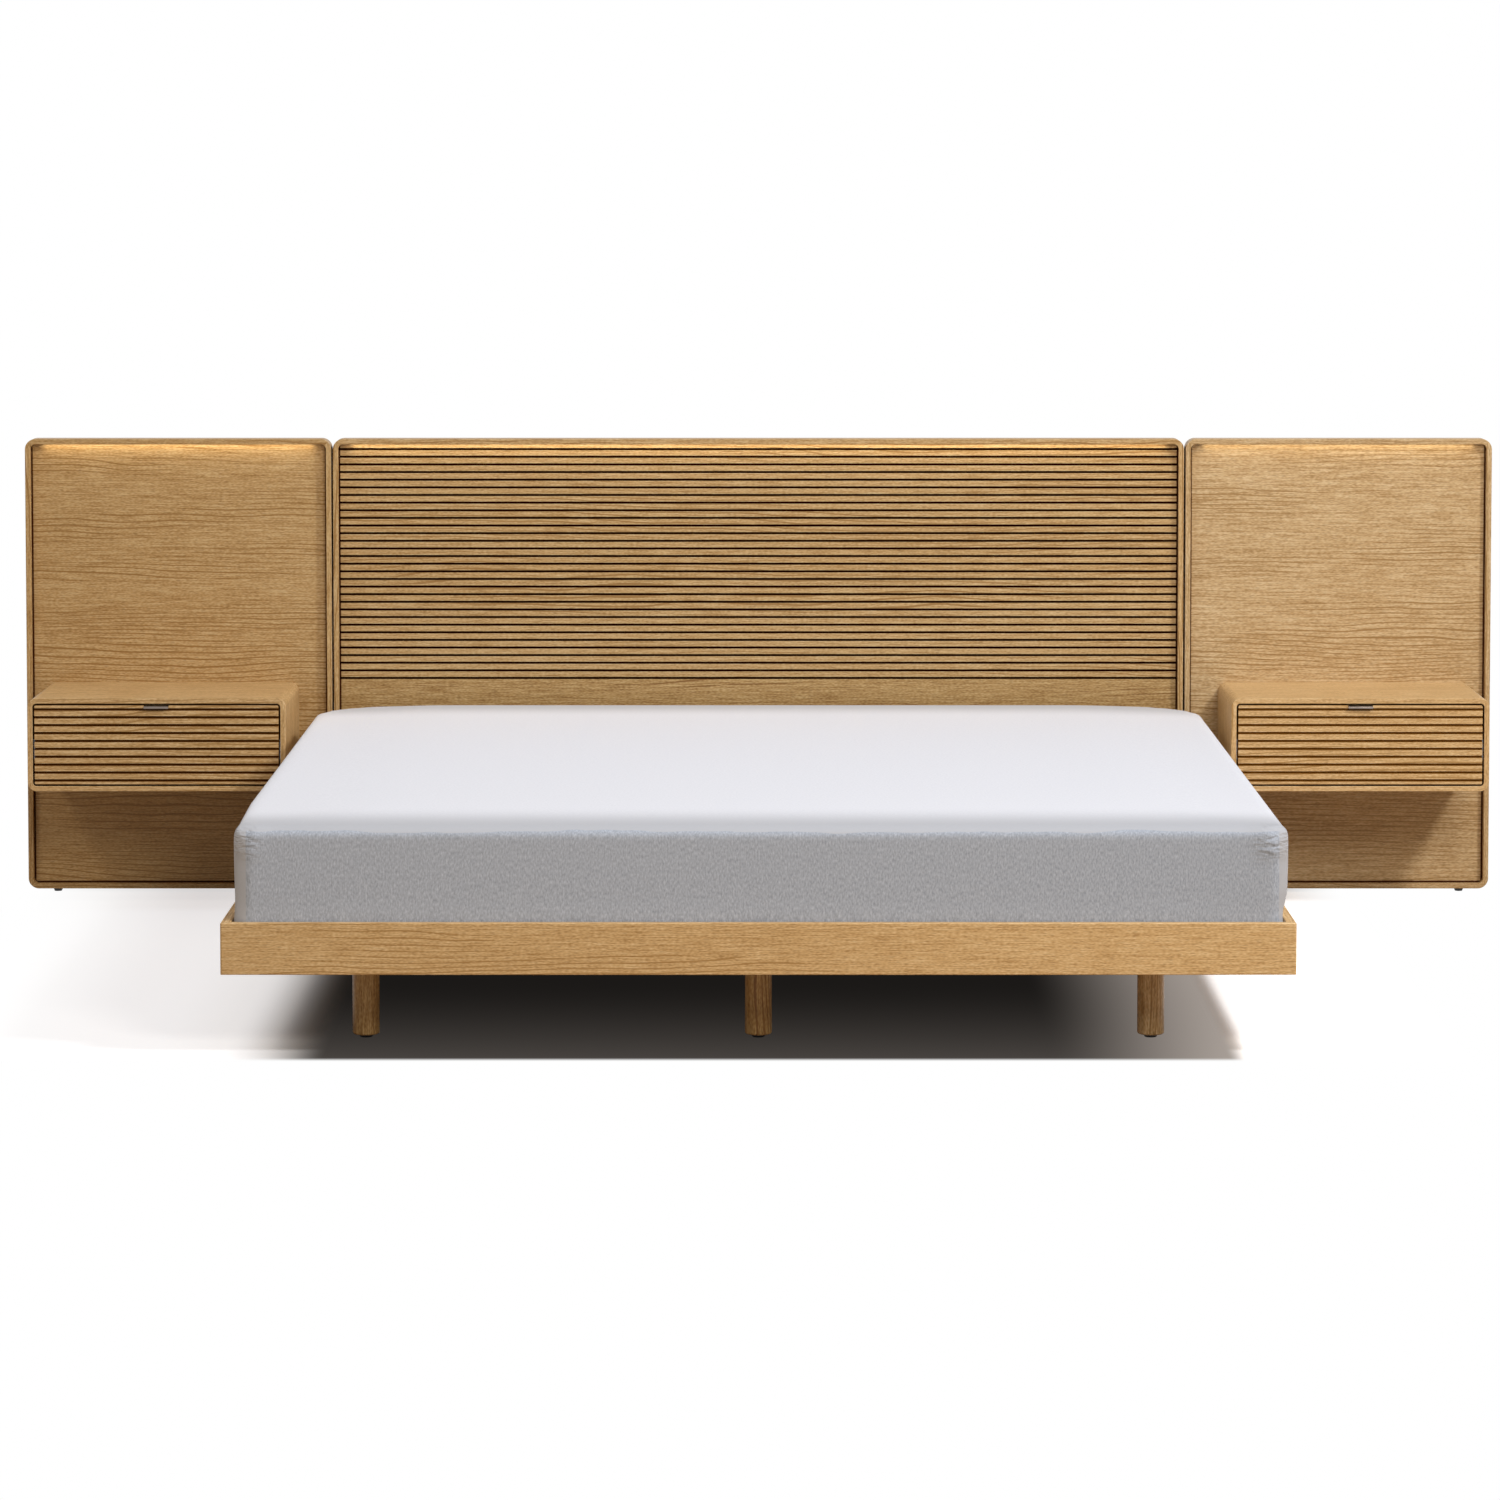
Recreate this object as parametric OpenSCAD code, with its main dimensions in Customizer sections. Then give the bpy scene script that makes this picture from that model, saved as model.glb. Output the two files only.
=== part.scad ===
// Low platform bed with a wide three-panel headboard. Each outer panel carries a floating
// nightstand with one drawer, and a light strip is let into the rim above every panel.
// X runs across the bed, Y from the foot to the head and Z up. The origin lies on the floor
// under the middle of the whole piece.

/* [Mattress] */
// Width of the mattress
mattress_w = 2000; // [1500:5:2030]
// Length of the mattress
mattress_l = 2000; // [1880:4:2140]
// Thickness of the mattress at its border
mattress_h = 216; // [150:1:300]
// Rise of the top from the border to the middle
mattress_crown = 7; // [2:1:20]
// Radius of the corners seen from above
mattress_corner_r = 35; // [20:1:120]
// Radius of the soft edge round the top
mattress_top_r = 24; // [10:1:50]
// Radius of the soft edge round the bottom
mattress_bottom_r = 12; // [5:1:30]
// How far the border draws in at half height
mattress_draw_in = 3.5; // [0.5:0.5:10]
// Room between the mattress and the pieces round it
mattress_gap = 3; // [1:0.5:15]

/* [Platform rails] */
// Thickness of the rails
rail_t = 19; // [16:0.5:40]
// Height of the foot and side rails
rail_h = 99; // [75:1:160]
// Floor to the underside of the rails
rail_clear = 152; // [90:1:300]
// Rounding of the rail arrises
rail_arris = 2; // [0.5:0.25:4]
// Rounding of the upright corners at the foot
rail_corner_r = 4; // [1:0.5:12]
// Width of the hairline left open at a mitre
glue_line = 0.1; // [0.05:0.05:0.3]

/* [Slats and bearers] */
// Thickness of a slat
slat_t = 18; // [12:1:25]
// Width of a slat
slat_w = 70; // [45:1:100]
// Largest space between two slats
slat_space = 76; // [40:1:100]
// Room at each end of a slat
slat_end_gap = 2; // [0.5:0.5:5]
// Height of the bearers and the centre beam
bearer_h = 35; // [24:1:50]
// Width of a bearer along the bed
bearer_w = 70; // [66:1:110]
// Width of the centre beam
beam_w = 60; // [35:1:110]
// Height of the ledger strips
ledger_h = 28; // [15:1:34]
// Width of the ledger strips
ledger_w = 25; // [15:1:45]
// Clearance in the lapped and housed joints
joint_fit = 0.2; // [0.1:0.05:0.5]
// Length of each leg of a corner bracket
bracket_leg = 50; // [45:1:90]
// Sheet thickness of a corner bracket
bracket_t = 3; // [2:0.5:5]
// Bearer left showing over and under a corner bracket
bracket_margin = 2.5; // [1:0.5:6]
// Middle of the first screw in from a bracket's corner
bracket_screw_from = 18; // [12:1:20]
// Middle of the second screw in from the end of a bracket's leg
bracket_screw_end = 12; // [8:1:15]

/* [Legs] */
// Diameter of a leg
leg_d = 52; // [35:1:65]
// Rounding of the leg's lower edge
leg_edge_r = 4; // [1:0.5:8]
// Middle of the outer legs in from the outside of the side rails
leg_side_inset = 262; // [120:1:400]
// Middle of the front legs in from the foot, and of the rear legs in from the head
leg_end_inset = 188; // [150:1:500]
// Side of the square plate on top of a leg
leg_plate_w = 64; // [56:1:66]
// Corner radius of that plate
leg_plate_r = 6; // [2:0.5:12]
// Thickness of the plate on top of a leg
leg_plate_t = 3; // [2:0.5:5]
// Diameter of the stud that holds a leg
leg_stud_d = 8; // [6:1:12]
// Length of the stud below the plate
leg_stud_l = 28; // [15:1:45]
// Diameter of the glide under a leg
glide_d = 26; // [15:1:34]
// Height of the glide under a leg
glide_h = 6; // [3:0.5:12]
// Diameter of the pin that holds a glide
glide_pin_d = 5; // [3:0.5:8]
// Length of the pin that holds a glide
glide_pin_l = 12; // [6:1:20]

/* [Headboard] */
// Floor to the top of the headboard
headboard_h = 1046; // [850:1:1300]
// Floor to the underside of the panels
foot_h = 8; // [4:1:25]
// How far the middle panel runs past each side rail; below zero the rails run past it
panel_overhang = -46; // [-60:1:80]
// Room between two panels
panel_gap = 4; // [2:0.5:10]
// Width of the rim seen from the front
rim_t = 12; // [10:0.5:24]
// Inner radius of the rim's corners
rim_inner_r = 12; // [6:1:30]
// Rounding of the rim's front arrises
rim_arris = 1.5; // [0.5:0.25:3]
// Depth of the board face behind the rim's front
board_recess = 18; // [16:1:26]
// Thickness of the boards
board_t = 18; // [12:1:24]
// Depth of the recess behind the boards
recess_back = 12; // [12:1:30]
// Room between a board and its rim
board_fit = 0.2; // [0.1:0.05:0.5]
// Room between the platform and the rim's front
headboard_gap = 2; // [0.5:0.5:10]
// Diameter of a foot under a panel
panel_foot_d = 20; // [12:1:36]
// Middle of a panel's outer feet in from the panel's edge
panel_foot_inset = 65; // [30:1:150]
// Diameter of the pin that holds a foot
panel_foot_pin_d = 4; // [3:0.5:8]
// Rim left over the pin of a foot
panel_foot_cover = 3; // [2:0.5:6]
// Bevel round the underside of a foot or glide
foot_bevel = 1.5; // [0.5:0.25:3]
// Width of the battens behind the middle panel
batten_w = 90; // [50:1:140]
// Middle of the outer battens in from the middle panel's edge
batten_inset = 170; // [70:1:400]
// Height of the battens behind a side panel
batten_h = 64; // [30:1:80]
// Lowest connector between two panels, up from the floor
connector_low = 150; // [60:1:260]
// Middle connector, up from the top of a nightstand
connector_middle = 90; // [20:1:150]
// Highest connector, down from the top of the headboard
connector_high = 130; // [60:1:300]
// Diameter of a connector's heads
connector_head_d = 10; // [8:0.5:11]
// Height of a connector's heads
connector_head_h = 4; // [2:0.5:6]
// Diameter of a washer between two panels
panel_spacer_d = 11; // [9:0.5:12]

/* [Slatted board] */
// Height of the slatted area with the plain band over it
slatted_h = 540; // [300:1:700]
// Height of the plain band over the first groove
slatted_band = 9.5; // [6:0.5:40]
// Distance from one rib to the next
rib_pitch = 17.6; // [12:0.1:40]
// Width of the groove between two ribs
rib_groove_w = 5.1; // [2:0.1:8]
// Depth of the groove between two ribs
rib_groove_depth = 9; // [2:0.5:10]
// Share of a groove's width that is cut to full depth; the rest slopes out
groove_flat = 0.75; // [0.3:0.05:0.9]

/* [Light strips] */
// Length of straight rim left without light at each end
led_end = 16; // [4:1:60]
// Width of the light channel
led_w = 12; // [8:0.5:14]
// Height of the light channel
led_h = 7; // [5:0.5:8.5]
// Wall of the light channel
led_wall = 1; // [0.8:0.1:1.5]
// Thickness of the diffuser
led_diffuser_t = 1.6; // [1:0.1:2.5]
// Room round the light channel and the diffuser
led_fit = 0.1; // [0.05:0.05:0.3]
// Rim left in front of the light channel
led_lip = 3; // [2:0.5:5]

/* [Nightstand case] */
// Width of a nightstand
case_w = 578; // [420:1:700]
// Height of a nightstand
case_h = 209; // [190:1:320]
// Depth of a nightstand in front of its board
case_d = 332; // [250:1:480]
// Floor to the underside of a nightstand
case_clear = 275; // [200:1:450]
// Board and rim left showing beside a nightstand, mean of its two sides
case_margin = 62; // [30:1:150]
// Distance of a nightstand outwards from the middle of its panel
case_shift = 16; // [0:1:40]
// Wall of the case
case_t = 12; // [9:0.5:18]
// Inner radius of the case's corners
case_in_r = 8; // [7:0.5:24]
// Rounding of the case's front arrises
case_arris = 1.5; // [0.5:0.25:3]
// Thickness of the panel that closes the back of the case
case_back_t = 16; // [12:1:24]

/* [Drawer] */
// Room round the drawer front
front_gap = 3.5; // [2:0.25:6]
// Thickness of the drawer front
front_t = 18; // [14:0.5:24]
// Rounding of the drawer front's outer arrises
front_arris = 1.5; // [0.5:0.25:3]
// Distance from one rib of the drawer front to the next
front_pitch = 17.75; // [12:0.25:40]
// Width of a groove in the drawer front
front_groove_w = 5.8; // [2:0.1:8]
// Depth of a groove in the drawer front
front_groove_depth = 8; // [2:0.5:9]
// Smallest plain strip over the first and under the last groove
front_strip = 5; // [4:0.5:20]
// Room between the drawer box and the case's back
drawer_rear_gap = 11; // [4:1:40]
// Room over the drawer's sides inside the case
drawer_top_gap = 37; // [12:1:60]
// Underside of the drawer's sides over the case's floor
drawer_lift = 14; // [6:0.5:20]
// Thickness of the drawer's sides and back
drawer_t = 12; // [10:0.5:16]
// Thickness of the drawer's bottom
bottom_t = 6; // [4:0.5:9]
// Drawer's bottom over the lower edge of its sides
bottom_lift = 10; // [6:0.5:20]
// Depth of the groove that holds the drawer's bottom
bottom_groove = 5; // [3:0.5:7]
// Clearance of the drawer's bottom in its grooves
bottom_fit = 0.2; // [0.1:0.05:0.5]

/* [Runners] */
// Room between the drawer's side and the case for a runner
runner_room = 13; // [12.5:0.1:16]
// Height of a runner
runner_h = 45; // [35:1:60]
// Length of drawer box that runs on behind a runner
runner_rear_gap = 10; // [2:1:40]
// Sheet thickness of a runner
runner_t = 1.2; // [1:0.1:1.6]
// Running clearance between two runner members
runner_fit = 0.3; // [0.2:0.05:0.6]
// Length of the flanges
runner_flange = 10.5; // [8:0.5:11]

/* [Drawer pull] */
// Width of the pull
pull_w = 55; // [30:1:160]
// Sheet thickness of the pull
pull_t = 2; // [1.5:0.1:3]
// How far the pull stands out from the drawer front
pull_reach = 8; // [5:0.5:25]
// Height of the pull's lip
pull_lip = 5.5; // [4.5:0.5:15]
// Top of the drawer front left behind the pull's leaf
pull_leaf_rest = 3; // [1:0.5:8]
// Depth of the notch over the pull
pull_sink = 1.5; // [0:0.25:3]

/* [Fasteners] */
// Diameter of the bolts that hold the headboard to the platform
bed_bolt_d = 8; // [6:1:10]
// Middle of each pair of bed bolts from the middle of the bed
bed_bolt_x = 450; // [250:1:550]
// Spacing of the two bolts in a pair
bed_bolt_pitch = 60; // [40:1:80]
// Bed bolts down from the underside of the slats
bed_bolt_drop = 11; // [10:0.5:16]
// Height of a bed bolt's head
bed_bolt_head = 4; // [2:0.5:8]
// Height of a bed bolt's nut with its washer
bed_nut_h = 8; // [5:0.5:9]
// Bed bolt left showing behind its nut
bed_bolt_show = 1; // [0.5:0.5:2]
// Block left on each side of a pair of bed bolts
spacer_margin = 25; // [15:1:60]
// Head rail left showing over and under a spacer block
spacer_inset = 5; // [2:1:15]
// Diameter of the bolts that hold a case or join two panels
case_bolt_d = 6; // [5:1:8]
// Height of a case bolt's head
case_bolt_head = 4; // [2:0.5:5]
// Depth that a case bolt's head is sunk into its batten
case_bolt_sink = 5; // [5:0.5:8]
// Middle of the bolts that hold a case in from the case's sides
case_bolt_inset = 89; // [50:1:150]
// Upright spacing of the bolts that hold a case
case_bolt_z = 110; // [90:1:130]
// Case's back left in front of a case bolt
case_bolt_cover = 4; // [2:0.5:6]
// Diameter of the corner screws
screw_d = 4.5; // [3.5:0.5:6]
// Length of a corner screw inside a rail
screw_l = 13; // [8:1:15]
// Radial clearance of bolts, studs, pins and screws in their holes
hole_fit = 0.2; // [0.1:0.05:0.4]
// Depth of a blind hole past the end of its bolt, stud, pin or screw
hole_end = 1; // [0.5:0.25:1.5]

/* [Hidden] */
$fn = 64;
// How far a cut runs past the face where it starts
e = 1;

// Platform
platform_w = mattress_w + 2 * mattress_gap + 2 * rail_t;
platform_l = mattress_l + 2 * mattress_gap + rail_t;
bearer_z = rail_clear + leg_plate_t;
slat_z = bearer_z + bearer_h;
mattress_z = slat_z + slat_t;
inner_w = platform_w - 2 * rail_t;

// Whole piece
rim_depth = board_recess + board_t + recess_back;
total_d = platform_l + headboard_gap + rim_depth;
foot_y = -total_d / 2;
head_y = foot_y + platform_l;
back_y = total_d / 2;
board_y = back_y - rim_depth + board_recess;

// Panels
middle_panel_w = platform_w + 2 * panel_overhang;
side_panel_w = case_w + 2 * case_margin;
panel_h = headboard_h - foot_h;
panel_z = foot_h + panel_h / 2;
side_panel_x = middle_panel_w / 2 + panel_gap + side_panel_w / 2;
rim_r = rim_inner_r + rim_t;
panel_foot_pin_l = rim_t - panel_foot_cover;

// Slatted board, measured down from the inside of the upper rim
rib_rows = floor((slatted_h - slatted_band) / rib_pitch);
split_z = headboard_h - rim_t - board_fit - slatted_band - rib_rows * rib_pitch;

// Platform pieces
head_rail_h = mattress_z - rail_clear;
bracket_h = bearer_h - 2 * bracket_margin;
bracket_z = bearer_z + bracket_margin;
bracket_screws = [bracket_screw_from, bracket_leg - bracket_screw_end];
ledger_z = slat_z - ledger_h;
leg_x = platform_w / 2 - leg_side_inset;
leg_h = rail_clear - glide_h;
front_leg_y = foot_y + leg_end_inset;
rear_leg_y = head_y - leg_end_inset;
slat_from = foot_y + rail_t + mattress_gap + slat_w / 2;
slat_to = head_y - rail_t - mattress_gap - slat_w / 2;
slat_count = ceil((slat_to - slat_from) / (slat_w + slat_space)) + 1;
slat_step = (slat_to - slat_from) / (slat_count - 1);

// Headboard fixings
spacer_w = bed_bolt_pitch + 2 * spacer_margin;
spacer_h = head_rail_h - 2 * spacer_inset;
bed_bolt_z = slat_z - bed_bolt_drop;
spacer_l = board_y - head_y;
middle_batten_x = middle_panel_w / 2 - batten_inset;
connector_heights = [
    connector_low,
    case_clear + case_h + connector_middle,
    headboard_h - connector_high
];
connector_y = back_y - recess_back / 2;

// Nightstands
case_x = side_panel_x + case_shift;
case_y = board_y - case_d;
case_bolt_x = case_w / 2 - case_bolt_inset;
case_bolt_grip = case_back_t - case_bolt_cover;
case_bolt_head_d = 2 * case_bolt_d;
case_in_w = case_w - 2 * case_t;
case_in_h = case_h - 2 * case_t;
case_r = case_in_r + case_t;
front_w = case_in_w - 2 * front_gap;
front_h = case_in_h - 2 * front_gap;
front_r = case_in_r - front_gap;
front_z = case_t + front_gap;
front_rows = floor((front_h - front_groove_w - 2 * front_strip) / front_pitch);
drawer_w = case_in_w - 2 * runner_room;
drawer_l = case_d - case_back_t - drawer_rear_gap - front_t;
runner_l = drawer_l - runner_rear_gap;
drawer_z = case_t + drawer_lift;
drawer_h = case_in_h - drawer_lift - drawer_top_gap;
runner_z = drawer_z + drawer_h / 2;
pull_notch = pull_sink + pull_t;
pull_leaf = front_t - pull_leaf_rest;

OAK = [0.79, 0.64, 0.44];
PALE_OAK = [0.83, 0.69, 0.50];
PINE = [0.88, 0.78, 0.60];
BIRCH = [0.85, 0.76, 0.62];
STEEL = [0.72, 0.73, 0.75];
BLACK = [0.12, 0.12, 0.12];

// ---------- outlines and sections ----------

// A rectangle with round corners, centred
module rounded_rect(w, h, r) {
    square([w, h - 2 * r], center = true);
    square([w - 2 * r, h], center = true);
    for (x = [-1, 1], y = [-1, 1])
        translate([x * (w / 2 - r), y * (h / 2 - r)])
            circle(r = r);
}

// Section of a frame or sleeve wall: square at the back, round arrises at the front
module wall_section(t, depth, arris) {
    square([t, depth - arris]);
    translate([arris, 0])
        square([t - 2 * arris, depth]);
    for (x = [arris, t - arris])
        translate([x, depth - arris])
            circle(r = arris);
}

// Sleeve w wide and h tall about the origin, its front looking along +Z: four straight walls
// and four quarter turns
module sleeve(w, h, t, depth, r, arris) {
    for (side = [-1, 1]) {
        translate([-(w - 2 * r) / 2, side * (h - t) / 2 - t / 2, 0])
            rotate([90, 0, 90])
                linear_extrude(w - 2 * r)
                    wall_section(t, depth, arris);
        translate([side * (w - t) / 2 - t / 2, (h - 2 * r) / 2, 0])
            rotate([90, 0, 0])
                linear_extrude(h - 2 * r)
                    wall_section(t, depth, arris);
    }
    for (q = [0:3])
        translate([[1, -1, -1, 1][q] * (w / 2 - r), [1, 1, -1, -1][q] * (h / 2 - r), 0])
            rotate([0, 0, 90 * q])
                rotate_extrude(angle = 90)
                    translate([r - t, 0])
                        wall_section(t, depth, arris);
}

// Section of one groove whose upper edge is at height top in a face that lies at depth face:
// square above, where it throws a shadow, and sloping back out to the face below
function groove(top, face, width, depth) = [
    [top, face],
    [top, face - depth],
    [top - groove_flat * width, face - depth],
    [top - width, face]
];

// Sections of a row of grooves, from the top down
function grooves(top, face, pitch, count, width, depth) = [
    for (i = [0:count - 1], p = groove(top - i * pitch, face, width, depth)) p
];

// Slab l long along X with the given section, whose points are [height, depth]
module slab(l, section) {
    translate([-l / 2, 0, 0])
        rotate([90, 0, 90])
            linear_extrude(l)
                polygon(section);
}

// Round bar along +Z
module bar(d, l) {
    cylinder(d = d, h = l);
}

// Pan-head screw along +Z: the head's seat is at z = 0 and the point at z = l
module pan_screw(d, l) {
    head_d = 2 * d;
    head_h = 0.55 * d;
    tip_d = 0.2 * d;
    translate([0, 0, -head_h])
        cylinder(d1 = 0.75 * head_d, d2 = head_d, h = head_h);
    cylinder(d = d, h = l - d);
    translate([0, 0, l - d])
        cylinder(d1 = d, d2 = tip_d, h = d);
}

// ---------- mattress ----------

// One side of the border from the bottom up: how far it lies in, and its height
bottom_steps = 3;
border_steps = 6;
top_steps = 4;
crown_steps = 5;
border_low = mattress_bottom_r;
border_high = mattress_h - mattress_top_r;

function border_profile() = concat(
    [for (i = [0:bottom_steps - 1])
        let (a = 90 * i / bottom_steps)
        [mattress_bottom_r * (1 - sin(a)), mattress_bottom_r * (1 - cos(a))]],
    [for (i = [0:border_steps])
        let (u = i / border_steps)
        [mattress_draw_in * sin(180 * u), border_low + u * (border_high - border_low)]],
    [for (i = [1:top_steps])
        let (a = 90 * i / top_steps)
        [mattress_top_r * (1 - cos(a)), border_high + mattress_top_r * sin(a)]]
);

corner_points = 5;
side_points = 6;

// A ring of the mattress seen from above, drawn in by inset and shrunk by k about the middle
function ring(inset, z, k) = [
    for (q = [0:3], i = [0:corner_points + side_points - 1])
        let (
            sx = [1, -1, -1, 1][q],
            sy = [1, 1, -1, -1][q],
            nx = [-1, -1, 1, 1][q],
            ny = [1, -1, -1, 1][q],
            r = mattress_corner_r,
            hx = mattress_w / 2 - inset,
            hy = mattress_l / 2 - inset,
            cr = max(r - inset, 1),
            a = 90 * q + 90 * min(i, corner_points) / corner_points,
            u = max(i - corner_points, 0) / side_points,
            px = sx * (hx - cr) + cr * cos(a),
            py = sy * (hy - cr) + cr * sin(a),
            qx = nx * (hx - cr) + cr * cos(90 * (q + 1)),
            qy = ny * (hy - cr) + cr * sin(90 * (q + 1))
        )
        [k * (px + u * (qx - px)), k * (py + u * (qy - py)), z]
];

ring_n = 4 * (corner_points + side_points);

function mattress_rings() = concat(
    [for (p = border_profile()) ring(p[0], p[1], 1)],
    [for (i = [1:crown_steps])
        let (k = 1 - i / (crown_steps + 1))
        ring(mattress_top_r, mattress_h + mattress_crown * (1 - pow(k, 3)), k)]
);

module mattress() {
    rings = mattress_rings();
    levels = len(rings);
    points = concat(
        [for (one = rings, p = one) p],
        [[0, 0, 0], [0, 0, mattress_h + mattress_crown]]
    );
    low_hub = levels * ring_n;
    high_hub = low_hub + 1;
    sides = [
        for (j = [0:levels - 2], i = [0:ring_n - 1], half = [0, 1])
            let (
                a = j * ring_n + i,
                b = j * ring_n + (i + 1) % ring_n,
                c = a + ring_n,
                d = b + ring_n
            )
            half == 0 ? [a, d, b] : [a, c, d]
    ];
    low_cap = [for (i = [0:ring_n - 1]) [low_hub, i, (i + 1) % ring_n]];
    top = (levels - 1) * ring_n;
    high_cap = [for (i = [0:ring_n - 1]) [high_hub, top + (i + 1) % ring_n, top + i]];
    color([0.93, 0.93, 0.93])
        translate([0, foot_y + rail_t + mattress_gap + mattress_l / 2, mattress_z])
            polyhedron(points = points, faces = concat(sides, low_cap, high_cap));
}

// ---------- platform ----------

// Outline of the platform from above, cut to the part that one rail takes up
module rail_outline(points) {
    intersection() {
        translate([0, (foot_y + head_y) / 2])
            rounded_rect(platform_w, platform_l, rail_corner_r);
        polygon(points);
    }
}

module foot_rail() {
    w = platform_w / 2;
    color(OAK)
        difference() {
            intersection() {
                translate([0, 0, rail_clear])
                    linear_extrude(rail_h)
                        rail_outline([
                            [-w + glue_line, foot_y],
                            [w - glue_line, foot_y],
                            [w - glue_line - rail_t, foot_y + rail_t],
                            [-w + glue_line + rail_t, foot_y + rail_t]
                        ]);
                translate([-w, foot_y + rail_t / 2, rail_clear + rail_h / 2])
                    rotate([90, 0, 90])
                        linear_extrude(platform_w)
                            rounded_rect(rail_t, rail_h, rail_arris);
            }
            corner_screw_holes();
        }
}

module side_rail(side) {
    w = platform_w / 2;
    color(OAK)
        difference() {
            intersection() {
                translate([0, 0, rail_clear])
                    linear_extrude(rail_h)
                        rail_outline([
                            [side * w, foot_y],
                            [side * (w - rail_t), foot_y + rail_t],
                            [side * (w - rail_t), head_y],
                            [side * w, head_y]
                        ]);
                translate([side * (w - rail_t / 2), head_y, rail_clear + rail_h / 2])
                    rotate([90, 0, 0])
                        linear_extrude(platform_l)
                            rounded_rect(rail_t, rail_h, rail_arris);
            }
            corner_screw_holes();
        }
}

module left_side_rail() {
    side_rail(-1);
}

module right_side_rail() {
    side_rail(1);
}

module head_rail() {
    color(PINE)
        difference() {
            translate([-inner_w / 2, head_y - rail_t, rail_clear])
                cube([inner_w, rail_t, head_rail_h]);
            corner_screw_holes();
            at_bed_bolts()
                translate([0, 0, -e])
                    bar(bed_bolt_d + 2 * hole_fit, rail_t + 2 * e);
        }
}

// Strips that carry the slats, cut where a bearer or a bracket meets the rail
module side_ledgers() {
    stops = [
        foot_y + rail_t + bracket_leg + joint_fit,
        front_leg_y - bearer_w / 2 - joint_fit,
        front_leg_y + bearer_w / 2 + joint_fit,
        rear_leg_y - bearer_w / 2 - joint_fit,
        rear_leg_y + bearer_w / 2 + joint_fit,
        head_y - rail_t - bracket_leg - joint_fit
    ];
    color(PINE)
        for (side = [-1, 1], k = [0, 2, 4])
            translate([side * (inner_w - ledger_w) / 2 - ledger_w / 2, stops[k], ledger_z])
                cube([ledger_w, stops[k + 1] - stops[k], ledger_h]);
}

// Cross bearer with a notch in its top, into which the centre beam laps
module bearer(y) {
    color(PINE)
        difference() {
            translate([-inner_w / 2, y - bearer_w / 2, bearer_z])
                cube([inner_w, bearer_w, bearer_h]);
            translate([
                -beam_w / 2 - joint_fit,
                y - bearer_w / 2 - e,
                bearer_z + bearer_h / 2
            ])
                cube([beam_w + 2 * joint_fit, bearer_w + 2 * e, bearer_h]);
        }
}

module front_bearer() {
    bearer(front_leg_y);
}

module rear_bearer() {
    bearer(rear_leg_y);
}

module centre_beam() {
    color(PINE)
        difference() {
            translate([-beam_w / 2, foot_y + rail_t, bearer_z])
                cube([beam_w, platform_l - 2 * rail_t, bearer_h]);
            for (y = [front_leg_y, rear_leg_y])
                translate([-beam_w / 2 - e, y - bearer_w / 2 - joint_fit, bearer_z - e])
                    cube([beam_w + 2 * e, bearer_w + 2 * joint_fit, bearer_h / 2 + e]);
        }
}

module slats() {
    l = inner_w - 2 * slat_end_gap;
    color(PINE)
        for (i = [0:slat_count - 1])
            translate([-l / 2, slat_from + i * slat_step - slat_w / 2, slat_z])
                cube([l, slat_w, slat_t]);
}

// Places children at the four inner corners of the platform, X and Y pointing into the bed
module at_corners() {
    for (x = [-1, 1], y = [0, 1])
        translate([
            x * inner_w / 2,
            y == 0 ? foot_y + rail_t : head_y - rail_t,
            bracket_z
        ])
            scale([-x, y == 0 ? 1 : -1, 1])
                children();
}

// Places children at the screws of one bracket, their points away from the bed's middle
module at_bracket_screws() {
    for (d = bracket_screws) {
        translate([d, bracket_t, bracket_h / 2])
            rotate([90, 0, 0])
                children();
        translate([bracket_t, d, bracket_h / 2])
            rotate([0, -90, 0])
                children();
    }
}

module corner_brackets() {
    color(STEEL)
        at_corners()
            difference() {
                union() {
                    cube([bracket_leg, bracket_t, bracket_h]);
                    cube([bracket_t, bracket_leg, bracket_h]);
                }
                at_bracket_screws()
                    translate([0, 0, -e])
                        bar(screw_d + 2 * hole_fit, bracket_t + 2 * e);
            }
}

module corner_screws() {
    color(STEEL)
        at_corners()
            at_bracket_screws()
                pan_screw(screw_d, bracket_t + screw_l);
}

module corner_screw_holes() {
    at_corners()
        at_bracket_screws()
            bar(screw_d + 2 * hole_fit, bracket_t + screw_l + hole_end);
}

// ---------- legs ----------

module leg(x, y) {
    r = leg_d / 2;
    color(PALE_OAK)
        translate([x, y, glide_h])
            difference() {
                rotate_extrude() {
                    translate([0, leg_edge_r])
                        square([r, leg_h - leg_edge_r]);
                    square([r - leg_edge_r, leg_h]);
                    translate([r - leg_edge_r, leg_edge_r])
                        intersection() {
                            circle(r = leg_edge_r);
                            translate([0, -leg_edge_r])
                                square(leg_edge_r);
                        }
                }
                translate([0, 0, leg_h - leg_stud_l - hole_end])
                    bar(leg_stud_d + 2 * hole_fit, leg_stud_l + hole_end + e);
                translate([0, 0, -e])
                    bar(glide_pin_d + 2 * hole_fit, glide_pin_l + hole_end + e);
            }
}

module front_left_leg() {
    leg(-leg_x, front_leg_y);
}

module front_middle_leg() {
    leg(0, front_leg_y);
}

module front_right_leg() {
    leg(leg_x, front_leg_y);
}

module rear_left_leg() {
    leg(-leg_x, rear_leg_y);
}

module rear_middle_leg() {
    leg(0, rear_leg_y);
}

module rear_right_leg() {
    leg(leg_x, rear_leg_y);
}

module at_legs() {
    for (x = [-leg_x, 0, leg_x], y = [front_leg_y, rear_leg_y])
        translate([x, y, 0])
            children();
}

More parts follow.
